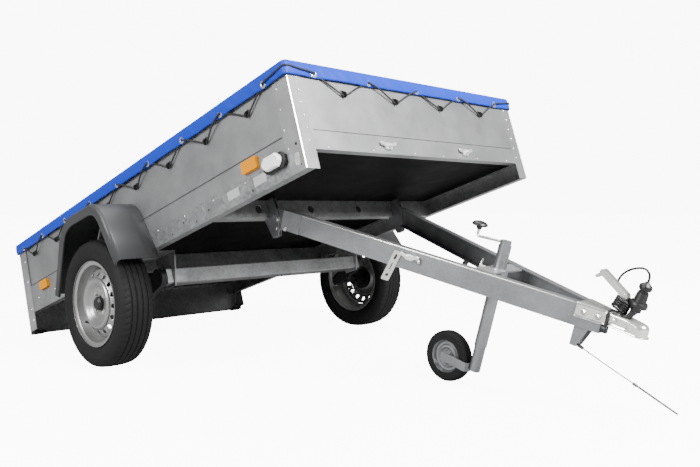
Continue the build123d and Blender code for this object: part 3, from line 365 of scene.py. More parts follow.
# %% [markdown]
# ## Grids and spun shapes
# Most pieces here are bent, spun or swept. They could be pulled into shape by hand or by a stack
# of modifiers, but a grid of points worked out from two numbers, along and around, is exact and
# easy to change. numpy works out all its points at once and one call makes the mesh.

# %% Grids and spun shapes
def grid(points, close_rows=False, close_columns=False):
    """Points in rows and columns, with a quad between each four neighbours; a closed way wraps."""
    rows, columns = points.shape[:2]
    index = np.arange(rows * columns).reshape(rows, columns)
    index = np.vstack([index, index[:1]]) if close_rows else index
    index = np.hstack([index, index[:, :1]]) if close_columns else index
    quads = np.stack([index[:-1, :-1], index[1:, :-1], index[1:, 1:], index[:-1, 1:]], -1)
    return points.reshape(-1, 3), quads.reshape(-1, 4)


def join(*shapes):
    """Several shapes as one: points stacked, and each shape's quads counted on from the last."""
    starts = np.cumsum([0] + [len(points) for points, _ in shapes[:-1]])
    return (np.vstack([points for points, _ in shapes]),
            np.vstack([quads + start for start, (_, quads) in zip(starts, shapes)]))


def axes(direction, hint=(0, 0, 1)):
    """Three square directions: the given one, then across it, then the hint made square to it."""
    along = np.asarray(direction, float) / np.linalg.norm(direction)
    hint = (1, 0, 0) if abs(along @ np.asarray(hint, float)) > 0.99 else hint
    across = np.cross(hint, along)
    across /= np.linalg.norm(across)
    return np.array([along, across, np.cross(along, across)])


def lathe(profile, centre, direction, sides=32, turn=0.0):
    """A profile of (distance along, radius) spun about a line: r cos a, r sin a square to it."""
    along, across, up = axes(direction)
    angle = np.arange(sides) * 2 * np.pi / sides + turn
    reach, radius = np.array(profile, float).T
    ring = np.cos(angle)[:, None] * across + np.sin(angle)[:, None] * up
    middle = np.asarray(centre, float) + reach[:, None, None] * along
    return grid(middle + radius[:, None, None] * ring, close_columns=True)


print("a grid of 3 by 4 points has", len(grid(np.zeros((3, 4, 3)))[1]), "quads")

# %% [markdown]
# ## Swept shapes
# Rods, cords and levers follow a line. A curve with a bevel would sweep a round section, but each
# corner of a flat one would need a profile of its own, so a section is set square to every point
# of a path. A Catmull-Rom curve rounds the path through the few places that it has to touch.

# %% Swept shapes
def smooth(points, steps):
    """Catmull-Rom curve: each span is a cubic through its ends, sloped by its neighbours."""
    points = np.asarray(points, float)
    padded = np.vstack([2 * points[0] - points[1], points, 2 * points[-1] - points[-2]])
    a, b, c, d = padded[:-3, None], padded[1:-2, None], padded[2:-1, None], padded[3:, None]
    t = (np.arange(steps) / steps)[None, :, None]
    curve = 0.5 * (2 * b + (c - a) * t + (2 * a - 5 * b + 4 * c - d) * t**2
                   + (3 * b - a - 3 * c + d) * t**3)
    return np.vstack([curve.reshape(-1, points.shape[1]), points[-1:]])


def sweep(path, section, hint, capped=True):
    """A section of (across, up) pairs at each point of a path, square to the path's slope."""
    path, section = np.asarray(path, float), np.asarray(section, float)
    along = np.gradient(path, axis=0)
    along /= np.linalg.norm(along, axis=1, keepdims=True)
    across = np.cross(np.asarray(hint, float), along)
    across /= np.linalg.norm(across, axis=1, keepdims=True)
    up = np.cross(along, across)
    rings = (path[:, None] + section[None, :, :1] * across[:, None]
             + section[None, :, 1:] * up[:, None])
    if capped:
        rings = np.concatenate([path[:1, None].repeat(len(section), 1), rings,
                                path[-1:, None].repeat(len(section), 1)])
    return grid(rings, close_columns=True)


def circle(radius, sides=10):
    """A round section: radius times cosine and sine of equal steps."""
    angle = np.arange(sides) * 2 * np.pi / sides
    return radius * np.stack([np.cos(angle), np.sin(angle)], -1)


print("3 points smoothed in 4 steps a span make", len(smooth(np.eye(3), 4)), "points")

# %% [markdown]
# ## Pieces
# The trailer's two sides are twins and its bolts are alike, so shapes are copied and mirrored as
# arrays before they become a mesh. Operators on a selection could do the same, but data made
# straight from arrays doesn't depend on what is selected. `piece` closes the seams, turns the
# faces outwards and says which body the object rides on.

# %% Pieces
HANDS = ((-1, "right"), (1, "left"))


def copies(shape, places):
    """One shape moved to each of many places."""
    points, quads = shape
    places = np.asarray(places, float)
    moved = places[:, None] + points
    shifted = quads + np.arange(len(places))[:, None, None] * len(points)
    return moved.reshape(-1, 3), shifted.reshape(-1, 4)


def mirrored(shape):
    """The shape and its twin across the trailer's middle, with y turned over."""
    points, quads = shape
    return join(shape, (points * (1, -1, 1), quads[:, ::-1]))


def piece(name, shape, where, material, body, soft_edges=40, stands_for=None, sheet=0,
          offset=0.0):
    """One mesh object of a shape on a board: seams merged, faces outwards, riding on a body.

    It may stand for a CAD node, and a sheet's thickness in mm turns its surface into a wall.
    """
    points, quads = shape
    mesh = bpy.data.meshes.new(name)
    mesh.from_pydata(place(points, where).tolist(), [], quads.tolist())
    edit = bmesh.new()
    edit.from_mesh(mesh)
    bmesh.ops.remove_doubles(edit, verts=edit.verts, dist=2e-6)
    bmesh.ops.dissolve_degenerate(edit, edges=edit.edges, dist=1e-6)
    bmesh.ops.recalc_face_normals(edit, faces=edit.faces)
    edit.to_mesh(mesh)
    edit.free()
    mesh.materials.append(material)
    made = bpy.data.objects.new(name, mesh)
    bpy.context.scene.collection.objects.link(made)
    mesh.shade_smooth()
    mesh.set_sharp_from_angle(angle=math.radians(soft_edges))
    if sheet:
        wall = made.modifiers.new("sheet", "SOLIDIFY")
        wall.thickness, wall.offset = sheet * MM, offset
    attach(made, body)
    if stands_for:
        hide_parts(stands_for)
    print(name, len(mesh.polygons), "faces")
    return made


print("hands", *[hand for _, hand in HANDS])

# %% [markdown]
# ## Sizes of the bed and its cover
# The walls, the cover and its lacing share a few measures: where the skirt hangs, and how far
# apart the eyelets and hooks sit. They could stand as numbers in each formula, but named once, in
# millimetres, they can't drift apart.

# %% Sizes of the bed and cover
WALL_TOP = 550.0
BED_FRONT = 1276.0
HALF_WIDTH = 686.0
POST_FACE = 688.0              # the posts wrap the walls, so they stand out by their sheet
COVER_HALF = 697.0
COVER_FRONT = 1287.0
COVER_REAR = -1063.5
SKIRT = 55.0
CORNER = 14.0
SAG = 14.0
EYELETS_SIDE = np.array([1160, 894, 626, 356, 86, -184, -454, -724, -964.0])
EYELETS_FRONT = np.array([-563, -282, 4, 290, 563.0])
EYELET_HEIGHT = 512.0
EYELET_PULL = 34.0             # how far along the skirt an eyelet's pull reaches
CREASE_PULL = 9.0
HEM_PULL = 2.0                 # how far an eyelet draws the hem up or down
HEM_DENT, CREASE_DENT = 2.2, 1.2
SKIRT_BULGE, SKIRT_SLACK, SKIRT_WAVE = 2.6, 1.3, 0.9
SKIRT_ROWS = np.linspace(0, 1, 9)
CLOTH = 0.8                    # thickness of the coated cloth
HOOK_HEIGHT = 457.0
HOOKS_SIDE = 1040 - 270.5 * np.arange(8)
HOOKS_FRONT = 286.0 * (np.arange(4) - 1.5)

print("skirt", SKIRT, "mm, laced at", len(EYELETS_SIDE) * 2 + len(EYELETS_FRONT), "eyelets")

# %% [markdown]
# ## The cover
# The cover is coated polyester cloth, stretched over the walls and laced down. Its top sags a
# little, its skirt hangs over the walls' rims, and each eyelet pulls the skirt in and down, which
# leaves a crease. A cloth simulation would find such folds, but others with each change of size. A
# tent of rings from hem to ridge gives them in one grid, where they are wanted.

# %% Cover
# Woven polyester under blue vinyl: a strong blue with a broad, soft highlight.
tarpaulin = grained("coated_tarpaulin", "#0a31a4", 0.5, 3.0, 0.2, Specular_IOR_Level=0.25)


def cover_outline(step=9.0):
    """Plan of the skirt from rear right, round the rounded front, to rear left, in equal steps."""
    angle = np.linspace(0, np.pi / 2, 7)
    front, half = COVER_FRONT - CORNER, COVER_HALF - CORNER
    side = np.arange(COVER_REAR + 1, front, step)
    right = np.stack([side, 0 * side - COVER_HALF], -1)
    bend = np.stack([front + CORNER * np.sin(angle), -half - CORNER * np.cos(angle)], -1)
    middle = np.linspace(-half, half, int(2 * half / step))[1:-1]
    face = np.stack([0 * middle + COVER_FRONT, middle], -1)
    first = np.vstack([right, bend])
    return np.vstack([first, face, first[::-1] * (1, -1)])


def pull(outline, spread):
    """How much an eyelet pulls at each point: bells of a set width about the eyelets' places."""
    spots = np.vstack([np.stack([EYELETS_SIDE, 0 * EYELETS_SIDE - COVER_HALF], -1),
                       np.stack([EYELETS_SIDE, 0 * EYELETS_SIDE + COVER_HALF], -1),
                       np.stack([0 * EYELETS_FRONT + COVER_FRONT, EYELETS_FRONT], -1)])
    distance = np.linalg.norm(outline[:, None] - spots[None], axis=2)
    return np.exp(-(distance / spread) ** 2).sum(1)


def cover_surface():
    """Rings from hem to ridge: the skirt hangs straight, rounds the rim and sags to the ridge."""
    outline = cover_outline()
    tug, crease = pull(outline, EYELET_PULL), pull(outline, CREASE_PULL)
    ridge = np.stack([np.minimum(outline[:, 0], COVER_FRONT - COVER_HALF), 0 * outline[:, 0]], -1)
    outward = np.zeros_like(outline)
    outward[:, 0] = np.clip((outline[:, 0] - COVER_FRONT + CORNER) / CORNER, 0, 1)
    outward[:, 1] = np.sign(outline[:, 1]) * np.clip(
        (np.abs(outline[:, 1]) - COVER_HALF + CORNER) / CORNER, 0, 1)
    outward /= np.maximum(np.linalg.norm(outward, axis=1, keepdims=True), 1e-6)
    phase = np.arange(len(outline))
    wave = np.sin(phase * 0.37) * 0.7 + np.sin(phase * 0.151)
    rings = []
    for share in SKIRT_ROWS:
        height = WALL_TOP + 1 - (SKIRT + HEM_PULL * (tug - 1)) * (1 - share) - 1.2 * share**8
        dent = (HEM_DENT * tug + CREASE_DENT * crease) * (1 - share) ** 1.2
        ripple = np.sin(0.9 * phase + 5 * share) * np.sin(0.23 * phase) * (1 - share) ** 0.5
        bulge = (SKIRT_BULGE * np.sin(np.pi * min(share, 0.86)) - dent
                 + SKIRT_WAVE * wave * (1 - share) + SKIRT_SLACK * ripple)
        flat = outline + outward * (bulge - 1.8 * share**8)[:, None]
        rings.append(np.column_stack([flat, height]))
    for share in np.concatenate([[0.004, 0.012], np.linspace(0.03, 1, 26)]):
        flat = outline * (1 - share) + ridge * share
        height = np.full(len(outline), WALL_TOP + 1.6 - SAG * (1 - (1 - share) ** 2.2))
        rings.append(np.column_stack([flat, height]))
    return grid(np.array(rings))


cover = piece("tarpaulin_cover", cover_surface(), BED, tarpaulin, "bed", 60,
              stands_for="cover", sheet=CLOTH)

# %% [markdown]
# ## The rear flap
# At the back the skirt hangs over the tailgate. It could be part of the cover's grid, but it has
# to give way when the tailgate opens, so it is a sheet of its own.

# %% Rear flap
across = np.linspace(-COVER_HALF, COVER_HALF, 150)
eyelets_rear = np.linspace(-580, 580, 5)
tug = np.exp(-((across[:, None] - eyelets_rear) / EYELET_PULL) ** 2).sum(1)
flap_rows = [np.column_stack([0 * across + COVER_REAR - (2 - 3 * tug) * np.sin(np.pi * share),
                              across, WALL_TOP + 1 - (SKIRT + HEM_PULL * (tug - 1)) * (1 - share)])
             for share in SKIRT_ROWS]
flap = piece("tarpaulin_rear_flap", grid(np.array(flap_rows)), BED, tarpaulin, "bed",
             60, stands_for="cover_rear_flap", sheet=CLOTH)
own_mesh(flap)

# %% [markdown]
# ## Eyelets, hooks and lacing
# Pressed zinc eyelets line the skirt, black plastic hooks are riveted to the walls, and one
# elastic cord weaves between them. Each eyelet could be an object of its own, but one spun ring,
# copied to all its places as an array, makes them in one mesh.

# %% Eyelets
eyelet_profile = [(-0.6, 6.2), (1.0, 6.0), (2.8, 8.2), (3.0, 11.4), (2.1, 14.4), (0.4, 15.2),
                  (-0.6, 15.0), (-0.6, 6.2)]
side_eyelets = copies(lathe(eyelet_profile, (0, 0, 0), (0, -1, 0), 24),
                      [(x, -COVER_HALF + 1.6, EYELET_HEIGHT) for x in EYELETS_SIDE])
front_eyelets = copies(lathe(eyelet_profile, (0, 0, 0), (1, 0, 0), 24),
                       [(COVER_FRONT - 1.6, y, EYELET_HEIGHT) for y in EYELETS_FRONT])
piece("eyelets", join(mirrored(side_eyelets), front_eyelets), BED, bright_zinc, "bed")

# %% [markdown]
# ## Hooks
# A lacing hook is a moulded disc on the wall with a flat tongue that bends down and back. It could
# be carved from a block, but a flat section swept along the bend, and a spun disc, follow how it
# is shaped.

# %% Hooks
hook_path = smooth([(0, 0, 0), (9, 0, -1), (14, 0, -5), (15.5, 0, -11), (12.5, 0, -15.5),
                    (8.5, 0, -14)], 4)
hook_arm = sweep(hook_path, [(-6, -2), (6, -2), (6, 2), (-6, 2)], (0, 1, 0.01))
hook_disc = lathe([(0, 0), (0, 12), (2.2, 12), (3.4, 10.5), (3.4, 5.2), (5.2, 4.4), (5.8, 0)],
                  (0, 0, 0), (1, 0, 0), 24)
hook = join(hook_arm, hook_disc)


def turned(shape, angle):
    """A shape turned about the upright axis: x and y mixed by cosine and sine."""
    points, quads = shape
    c, s = math.cos(angle), math.sin(angle)
    return points @ np.array([(c, s, 0), (-s, c, 0), (0, 0, 1)]), quads


side_hooks = copies(turned(hook, math.radians(-90)),
                    [(x, -HALF_WIDTH + 3, HOOK_HEIGHT) for x in HOOKS_SIDE])
front_hooks = copies(hook, [(BED_FRONT, y, HOOK_HEIGHT) for y in HOOKS_FRONT])
piece("lacing_hooks", join(mirrored(side_hooks), front_hooks), BED, black_plastic, "bed",
      stands_for="cover_hooks")

# %% [markdown]
# ## Lacing
# The elastic runs out of an eyelet, under a hook and up behind the next stretch of skirt. It is
# taut, so a simulated rope would only find the same route again: a smooth curve through the places
# that it touches is enough.

# %% Lacing
CORD_RADIUS = 3.4


def lacing_path(eyelets, hooks, wall, first_outside):
    """Route on a wall: eyelet, hook, eyelet and so on; each V runs outside or behind the skirt.

    Points are (along the wall, up, out from the wall); out is small behind the skirt.
    """
    spots = []
    outside = first_outside
    for hook_at, before, after in zip(hooks, eyelets, eyelets[1:]):
        toward = np.sign(after - before)
        lift = wall + (5.5 if outside else -3.5)
        leave = [(before, EYELET_HEIGHT, wall + (4.0 if outside else -2.5)),
                 (before + toward * 9, EYELET_HEIGHT - 5, lift),
                 (before * 0.62 + hook_at * 0.38, EYELET_HEIGHT - 22, lift - 1.0)]
        under = [(hook_at - toward * 16, HOOK_HEIGHT - 7, 9.0), (hook_at, HOOK_HEIGHT - 12.5, 8.0),
                 (hook_at + toward * 16, HOOK_HEIGHT - 7, 9.0)]
        arrive = [(after * 0.62 + hook_at * 0.38, EYELET_HEIGHT - 22, lift - 1.0),
                  (after - toward * 9, EYELET_HEIGHT - 5, lift)]
        spots += leave + under + arrive
        outside = not outside
    spots.append((eyelets[len(hooks)], EYELET_HEIGHT, wall + 1.0))
    return np.array(spots)


skirt_out_side = COVER_HALF - HALF_WIDTH + 3
side_route = lacing_path(EYELETS_SIDE, HOOKS_SIDE, skirt_out_side, False)
right_route = np.column_stack([side_route[:, 0], -HALF_WIDTH + 3 - side_route[:, 2],
                               side_route[:, 1]])
front_route = lacing_path(EYELETS_FRONT, HOOKS_FRONT, COVER_FRONT - BED_FRONT, False)
front_route = np.column_stack([BED_FRONT + front_route[:, 2], front_route[:, 0],
                               front_route[:, 1]])
corner_route = np.array([
    (EYELETS_SIDE[0], -COVER_HALF - 1, EYELET_HEIGHT), (1172, -COVER_HALF - 6, EYELET_HEIGHT + 2),
    (1230, -COVER_HALF - 6, EYELET_HEIGHT + 9), (1270, -COVER_HALF - 5, EYELET_HEIGHT + 14),
    (COVER_FRONT - 2, -COVER_HALF - 2, EYELET_HEIGHT + 16),
    (COVER_FRONT + 5, -COVER_HALF + 14, EYELET_HEIGHT + 15),
    (COVER_FRONT + 6, -640, EYELET_HEIGHT + 9), (COVER_FRONT + 6, -577, EYELET_HEIGHT + 2),
    (COVER_FRONT + 1, EYELETS_FRONT[0], EYELET_HEIGHT)])
# Braided elastic: matte black, with a braid drawn coarser than it is.
elastic = grained("braided_elastic", "#111112", 0.6, 1.5, 0.3)
section = circle(CORD_RADIUS, 8)
laces = join(mirrored(sweep(smooth(right_route, 4), section, (0, -1, 0.02))),
             sweep(smooth(front_route, 4), section, (1, 0, 0.02)),
             mirrored(sweep(smooth(corner_route, 6), section, (0.03, 0.02, 1))))
piece("lacing", laces, BED, elastic, "bed")

# %% [markdown]
# ## Tyres
# A 155/70 R13 road tyre has four grooves round it and fine cuts across its ribs. Booleans would
# cut them slowly and raggedly, and a bump has no outline. Here the tyre is one grid: a section
# from bead to bead, spun round the wheel, with the grooves and cuts pressed inwards.

# %% Tyre surface
TYRE_RADIUS = 273.5
WHEEL_Y = 789.0
GROOVES = (-36, -12.5, 12.5, 36)
CUTS = 60                      # cuts round the tyre
GROOVE_DEPTH, SHOULDER_DEPTH, RIB_DEPTH = 5.5, 2.6, 1.6
TREAD_EDGE, SHOULDER_EDGE, RIB_EDGE = 61, 40, 33       # distances from the tyre's middle


def tyre_surface(sides=360):
    """Section (across, radius) spun about the axle, less the depth of its grooves and cuts."""
    wall = smooth([(-55.7, 164.3), (-56.0, 176), (-57.5, 183), (-66, 193), (-74, 208),
                   (-77.4, 226), (-75.5, 242), (-70, 256), (-63.5, 264.5)], 5)
    tread_across = np.linspace(-60, 60, 61)
    tread = np.column_stack([tread_across, TYRE_RADIUS - 7.5 * (np.abs(tread_across) / 66) ** 3.2])
    section = np.vstack([wall[:-1], tread, wall[::-1][1:] * (-1, 1)])
    across, radius = section[:, 0], section[:, 1]
    angle = np.arange(sides) * 2 * np.pi / sides
    wide = np.abs(across)
    grooves = np.zeros_like(across)
    for middle in GROOVES:
        grooves = np.maximum(grooves, np.clip(1.6 - np.abs(across - middle) / 2.6, 0, 1))
    phase = (angle[:, None] * CUTS / (2 * np.pi) + across[None] / 60 * 0.9) % 1
    cuts = np.clip(1.4 - np.abs(phase - 0.5) * 9, 0, 1)
    phase_in = (angle[:, None] * CUTS / (2 * np.pi) - across[None] / 40 * 0.8) % 1
    inner = (wide < RIB_EDGE)[None] * np.clip(1.2 - np.abs(phase_in - 0.5) * 10, 0, 1)
    outer = (wide > SHOULDER_EDGE)[None] * cuts
    depth = (wide < TREAD_EDGE)[None] * np.maximum(
        GROOVE_DEPTH * grooves[None], np.maximum(SHOULDER_DEPTH * outer, RIB_DEPTH * inner))
    depth = depth + np.clip((wide - 57) / 4, 0, 1)[None] * cuts * (radius > 250)
    band = 0.7 * np.exp(-((radius - 205) / 2.2) ** 2) + 0.5 * np.exp(-((radius - 236) / 1.8) ** 2)
    out = np.sign(across) * band * (wide > 62)
    spoke = radius[None] - depth
    return grid(np.stack([spoke * np.sin(angle)[:, None], across[None] + out[None] + 0 * spoke,
                          spoke * np.cos(angle)[:, None]], -1), close_rows=True)


tyre_points, tyre_quads = tyre_surface()
for side, hand in HANDS:
    piece(f"tread_{hand}", (tyre_points + (0, side * WHEEL_Y, 0), tyre_quads), LEVEL, tyre_rubber,
          f"wheel_{hand}", 35, stands_for=f"tyre_{hand}")

# %% [markdown]
# ## Flat shapes with rounded edges
# Levers, straps, plates and bolts are cut from bar or sheet, and no real edge is sharp. A bevel
# modifier could round them, but it needs care at each corner. A closed outline is carried through
# the metal's thickness instead, with its first and last rings drawn in a little, so every edge
# catches light.

# %% Slabs, slots and bolts
def slab(outline, low, high, edge=0.6):
    """An outline carried from low to high; the edge draws its end rings in to the middle."""
    outline = np.asarray(outline, float)
    middle = outline.mean(0)
    spokes = outline - middle
    inner = middle + spokes * (1 - edge / np.linalg.norm(spokes, axis=1, keepdims=True))
    rows = [(0 * outline + middle, low), (inner, low), (outline, low + edge),
            (outline, high - edge), (inner, high), (0 * outline + middle, high)]
    return grid(np.array([np.column_stack([flat, np.full(len(flat), depth)])
                          for flat, depth in rows]), close_columns=True)


def stadium(length, width, sides=10):
    """A slot's outline: two half circles of the width, their centres length less width apart."""
    angle = np.linspace(-np.pi / 2, np.pi / 2, sides)
    cap = width / 2 * np.stack([np.cos(angle), np.sin(angle)], -1)
    cap[:, 0] += (length - width) / 2
    return np.vstack([cap, -cap])


def oblong(length, width, radius=2.0, sides=4):
    """A rectangle's outline whose corners are quarter circles."""
    angle = np.linspace(0, np.pi / 2, sides)
    quarter = radius * np.stack([np.cos(angle), np.sin(angle)], -1)
    quarter += (length / 2 - radius, width / 2 - radius)
    flipped = quarter[::-1]
    return np.vstack([quarter, flipped * (-1, 1), -quarter, flipped * (1, -1)])


def aim(shape, origin, u, v):
    """A shape's own (u, v, w) steps turned into steps on a board; w is square to u and v."""
    points, quads = shape
    u = np.asarray(u, float) / np.linalg.norm(u)
    v = np.asarray(v, float) / np.linalg.norm(v)
    return np.asarray(origin, float) + points @ np.array([u, v, np.cross(u, v)]), quads


def bolt(size, centre, direction, turn=0.3):
    """A washer and a hexagon head with a chamfered top, size being half its width over corners."""
    washer = lathe([(0, 0), (0, 1.35 * size), (1.4, 1.35 * size), (1.4, 0)], centre, direction, 20)
    head = lathe([(1.4, 0), (1.4, size), (1 + 0.6 * size, size), (1.6 + 0.7 * size, 0.86 * size),
                  (1.6 + 0.7 * size, 0)], centre, direction, 6, turn)
    return join(washer, head)


def rivet(radius, centre, direction):
    """A low dome: height falls with the square of the distance from the middle."""
    share = np.linspace(1, 0, 5)
    return lathe(np.column_stack([0.55 * radius * (1 - share**2), radius * share]), centre,
                 direction, 12)


print("a bolt has", len(bolt(8, (0, 0, 0), (0, 0, 1))[1]), "faces before its poles are merged")

# %% [markdown]
# ## Mudguards
# A mudguard is vacuum-formed from one sheet of polypropylene, so no edge is sharp: the top rolls
# over into the outer lip in a generous bend, and the lip ends in a thin bead. A bevelled box would
# show flat faces, so one section is carried along the arch's rounded outline, and a modifier gives
# the sheet its thickness.

# %% Mudguards
GUARD_CORNERS = np.array([(-309, 116), (-142, 411), (197, 402), (307, 115.0)])
GUARD_SETBACKS = (105.0, 95.0)
GUARD_IN, GUARD_OUT, GUARD_LIP, GUARD_ROLL = 686.5, 873.0, 45.0, 15.0


def bent_line(corners, setbacks, steps=14):
    """A polyline whose corners are parabolas: (1-t)^2 of the start, 2t(1-t) of the corner, t^2."""
    spans = [corners[:1]]
    for before, corner, after, setback in zip(corners, corners[1:], corners[2:], setbacks):
        start = corner + setback * (before - corner) / np.linalg.norm(before - corner)
        end = corner + setback * (after - corner) / np.linalg.norm(after - corner)
        t = np.linspace(0, 1, steps)[:, None]
        spans.append((1 - t) ** 2 * start + 2 * t * (1 - t) * corner + t**2 * end)
    return np.vstack(spans + [corners[-1:]])


def guard_surface():
    """Each place on the arch carries the section (across, in): flat, rolled edge, then lip."""
    arch = bent_line(GUARD_CORNERS, GUARD_SETBACKS)
    slope = np.gradient(arch, axis=0)
    slope /= np.linalg.norm(slope, axis=1, keepdims=True)
    inward = np.column_stack([slope[:, 1], -slope[:, 0]])
    angle = np.linspace(0, np.pi / 2, 7)
    section = np.vstack([[(GUARD_IN, 0), (GUARD_IN + 60, -1.0), (GUARD_OUT - 60, -1.0)],
                         np.column_stack([GUARD_OUT - GUARD_ROLL + GUARD_ROLL * np.sin(angle),
                                          GUARD_ROLL - GUARD_ROLL * np.cos(angle)]),
                         [(GUARD_OUT, GUARD_LIP - 7), (GUARD_OUT - 1.2, GUARD_LIP - 2),
                          (GUARD_OUT - 5, GUARD_LIP), (GUARD_OUT - 9, GUARD_LIP - 2)]])
    flat = arch[:, None] + section[None, :, 1:] * inward[:, None]
    across = np.broadcast_to(section[None, :, 0], flat.shape[:2])
    return grid(np.stack([flat[..., 0], across, flat[..., 1]], -1))


guard_points, guard_quads = guard_surface()
for side, hand in HANDS:
    piece(f"mudguard_shell_{hand}", (guard_points * (1, side, 1), guard_quads), BED, guard_plastic,
          "bed", 60, stands_for=f"mudguard_{hand}", sheet=3)

# %% [markdown]
# ## Grooves, rivets and plates on the walls
# The walls are roll-formed boards, and a shadow line shows where each pair meets. Blind rivets
# hold the corner posts, and two aluminium plates, left blank here, are stuck to the right rail.
# The grooves and holes could be cut into the walls, but thin dark inlays of painted shade look
# the same from a step away and leave the imported walls whole.

# %% Wall details
GROOVE_Z = 303.0
POST_REAR = 1190.0
# Painted shade for grooves, post holes and strap slots: a dark grey with no shine.
groove_shadow = grained("shadowed_groove", "#1c1c1d", 0.8, 3.0, 0.1)
side_groove = aim(slab(oblong(2150, 2.6, 1.2), 0, 0.5, 0.2), (112, -686.1, GROOVE_Z), (1, 0, 0),
                  (0, 0, 1))
front_groove = aim(slab(oblong(1238, 2.6, 1.2), 0, 0.5, 0.2), (1275.9, 0, GROOVE_Z), (0, 1, 0),
                   (0, 0, 1))
# Dark strips of painted shade stand for the boards' grooves.
piece("wall_groove_shade", join(mirrored(side_groove), front_groove), BED, groove_shadow, "bed")
rivets = [rivet(5.0, (x, -POST_FACE, z), (0, -1, 0)) for x, z in
          ((1212, 396), (1209, 320), (1209, 251), (1214, 470), (-1000, 180), (-1000, 330),
           (-1000, 440), (-1000, 120))]
rivets += [rivet(5.0, (1278, -647, z), (1, 0, 0)) for z in (260, 306, 353, 400, 446, 492)]
rivets += [rivet(3.6, (BED_FRONT, y, 241), (1, 0, 0)) for y in (-560, -330, -90)]
rivets += [rivet(4.2, (x, -HALF_WIDTH, 222), (0, -1, 0)) for x in np.arange(-900, 1150, 205.0)]
piece("rivets", mirrored(join(*rivets)), BED, bright_zinc, "bed")
# Dark discs of painted shade stand for the holes in the posts and rails.
holes = [lathe([(0, 0), (0, r), (0.4, r), (0.4, 0)],
               (x, -0.1 - (POST_FACE if x > POST_REAR else HALF_WIDTH), z), (0, -1, 0), 14)
         for x, z, r in ((1251, 256.5, 5.5), (1240, 200, 4), (1256, 182, 3), (980, 180, 4),
                         (700, 196, 5), (610, 178, 4), (520, 200, 4), (430, 178, 4))]
piece("post_hole_shade", mirrored(join(*holes)), BED, groove_shadow, "bed")
# Printed aluminium plate, left blank: pale and slightly glossy.
blank_plate = grained("printed_aluminium_plate", "#c9cacb", 0.35, 4.0, 0.05, Metallic=0.5)
plates = [aim(slab(oblong(72, 34, 1.5), 0, 0.8, 0.2), (x, -686.1, z), (1, 0, 0), (0, 0, 1))
          for x, z in ((1030, 205), (868, 205))]
piece("blank_plates", join(*plates), BED, blank_plate, "bed")

# %% [markdown]
# ## Latches, lamps and eyes
# Two bright wing latches hold the front panel, a clear eight-sided lens stands on each black lamp
# base, and each front post has an oval eye at its foot for a lashing strap. They could be sculpted
# as castings, but slabs with drawn-in edges and a spun pin have the same outline and stay light.

# %% Latches, lamps and eyes
LATCH_Y = 246.0
WING_SPREAD = 27.0
LENS_HALF, LENS_RISE, LENS_CORNER = 47.0, 24.0, 17.0

latch_parts = []
for y in (-LATCH_Y, LATCH_Y):
    middle = (BED_FRONT, y, 262)
    latch_parts += [aim(slab(oblong(42, 28, 10), 0, 9, 2.0), middle, (0, 1, 0), (0, 0, 1)),
                    lathe([(0, 0), (0, 8), (18, 7.5), (23, 5), (24, 0)], middle, (1, 0, 0))]
    for side in (-1, 1):
        tip = (BED_FRONT, y + side * WING_SPREAD, 268)
        latch_parts.append(aim(slab(stadium(38, 15), 5, 12, 2.0), tip, (0, 1, side * 0.3),
                               (0, side * -0.3, 1)))
piece("wing_latches", join(*latch_parts), BED, latch_zinc, "bed",
      stands_for="front_latches")

flat, slope = LENS_HALF - LENS_CORNER, LENS_RISE - LENS_CORNER
eight_sides = [(LENS_HALF, slope), (flat, LENS_RISE), (-flat, LENS_RISE), (-LENS_HALF, slope),
               (-LENS_HALF, -slope), (-flat, -LENS_RISE), (flat, -LENS_RISE), (LENS_HALF, -slope)]
lens = aim(slab(eight_sides, 0, 22, 5.0), (1136, -700, 230), (1, 0, 0), (0, 0, 1))
piece("front_lamp_lenses", mirrored(lens), BED, clear_lens, "bed", 20,
      stands_for="front_lamps")

# The eye is zinc, but drawn in the near-white cast zinc: its paleness is a painted highlight on the
# pressed eye.
eye = aim(slab(stadium(46, 25), -0.5, 3.0, 2.4), (1245, -POST_FACE, 204), (0, 0, 1), (-1, 0, 0))
piece("lashing_eyes", mirrored(eye), BED, latch_zinc, "bed")

# %% [markdown]
# ## Rims
# A steel rim is two pressings: a rolled barrel and a disc, whose ring of vents lies outside a
# raised dome. The vents could be cut by booleans, which leave long thin faces that shade badly.
# Each vent is a patch of the disc instead: rings that change from the vent's circle to the patch's
# edge.

# %% Rims
FACE = 819.0                   # outboard face of the wheel's disc where it meets the hub
VENTS, VENT_RADIUS, VENT_CIRCLE = 16, 9.8, 124.5
DISC_RADII = (29, 61, 72, 88, 96, 103, 109, 114, 135.5, 148)
DISC_RISE = (0, 0, 5, 21, 26, 26, 21, 14, 3, -12)
BARREL = [(-66, 181), (-65, 183), (-62, 183), (-60.5, 180), (-60, 171), (-56, 166), (-45, 164),
          (-30, 161), (-18, 151), (16, 151), (26, 160), (45, 164), (56, 166), (60, 171),
          (60.5, 180), (62, 183), (65, 183), (66, 181)]


def disc_place(radius, angle):
    """A place on the disc: radius times cosine and sine, standing out by the pressed profile."""
    rise = np.interp(radius, DISC_RADII, DISC_RISE)
    return np.stack([radius * np.cos(angle), FACE + rise + 0 * angle, radius * np.sin(angle)], -1)


def vent_patch(low=112.0, high=137.0, around=32):
    """Rings about a vent: share 0 is its circle and share 1 a box between two radii and spokes."""
    turn = np.arange(around) * 2 * np.pi / around + np.pi / around
    way = np.stack([np.cos(turn), np.sin(turn)], -1)
    half = np.array([(high - low) / 2, VENT_CIRCLE * np.pi / VENTS])
    box = way / np.abs(way / half).max(1, keepdims=True)
    rows = []
    for share in (0.0, 0.2, 0.5, 0.8, 1.0):
        flat = VENT_RADIUS * way * (1 - share) + box * share
        rows.append(disc_place(VENT_CIRCLE + 0.5 * share + flat[:, 0],
                               flat[:, 1] / VENT_CIRCLE))
    return grid(np.array(rows), close_columns=True)


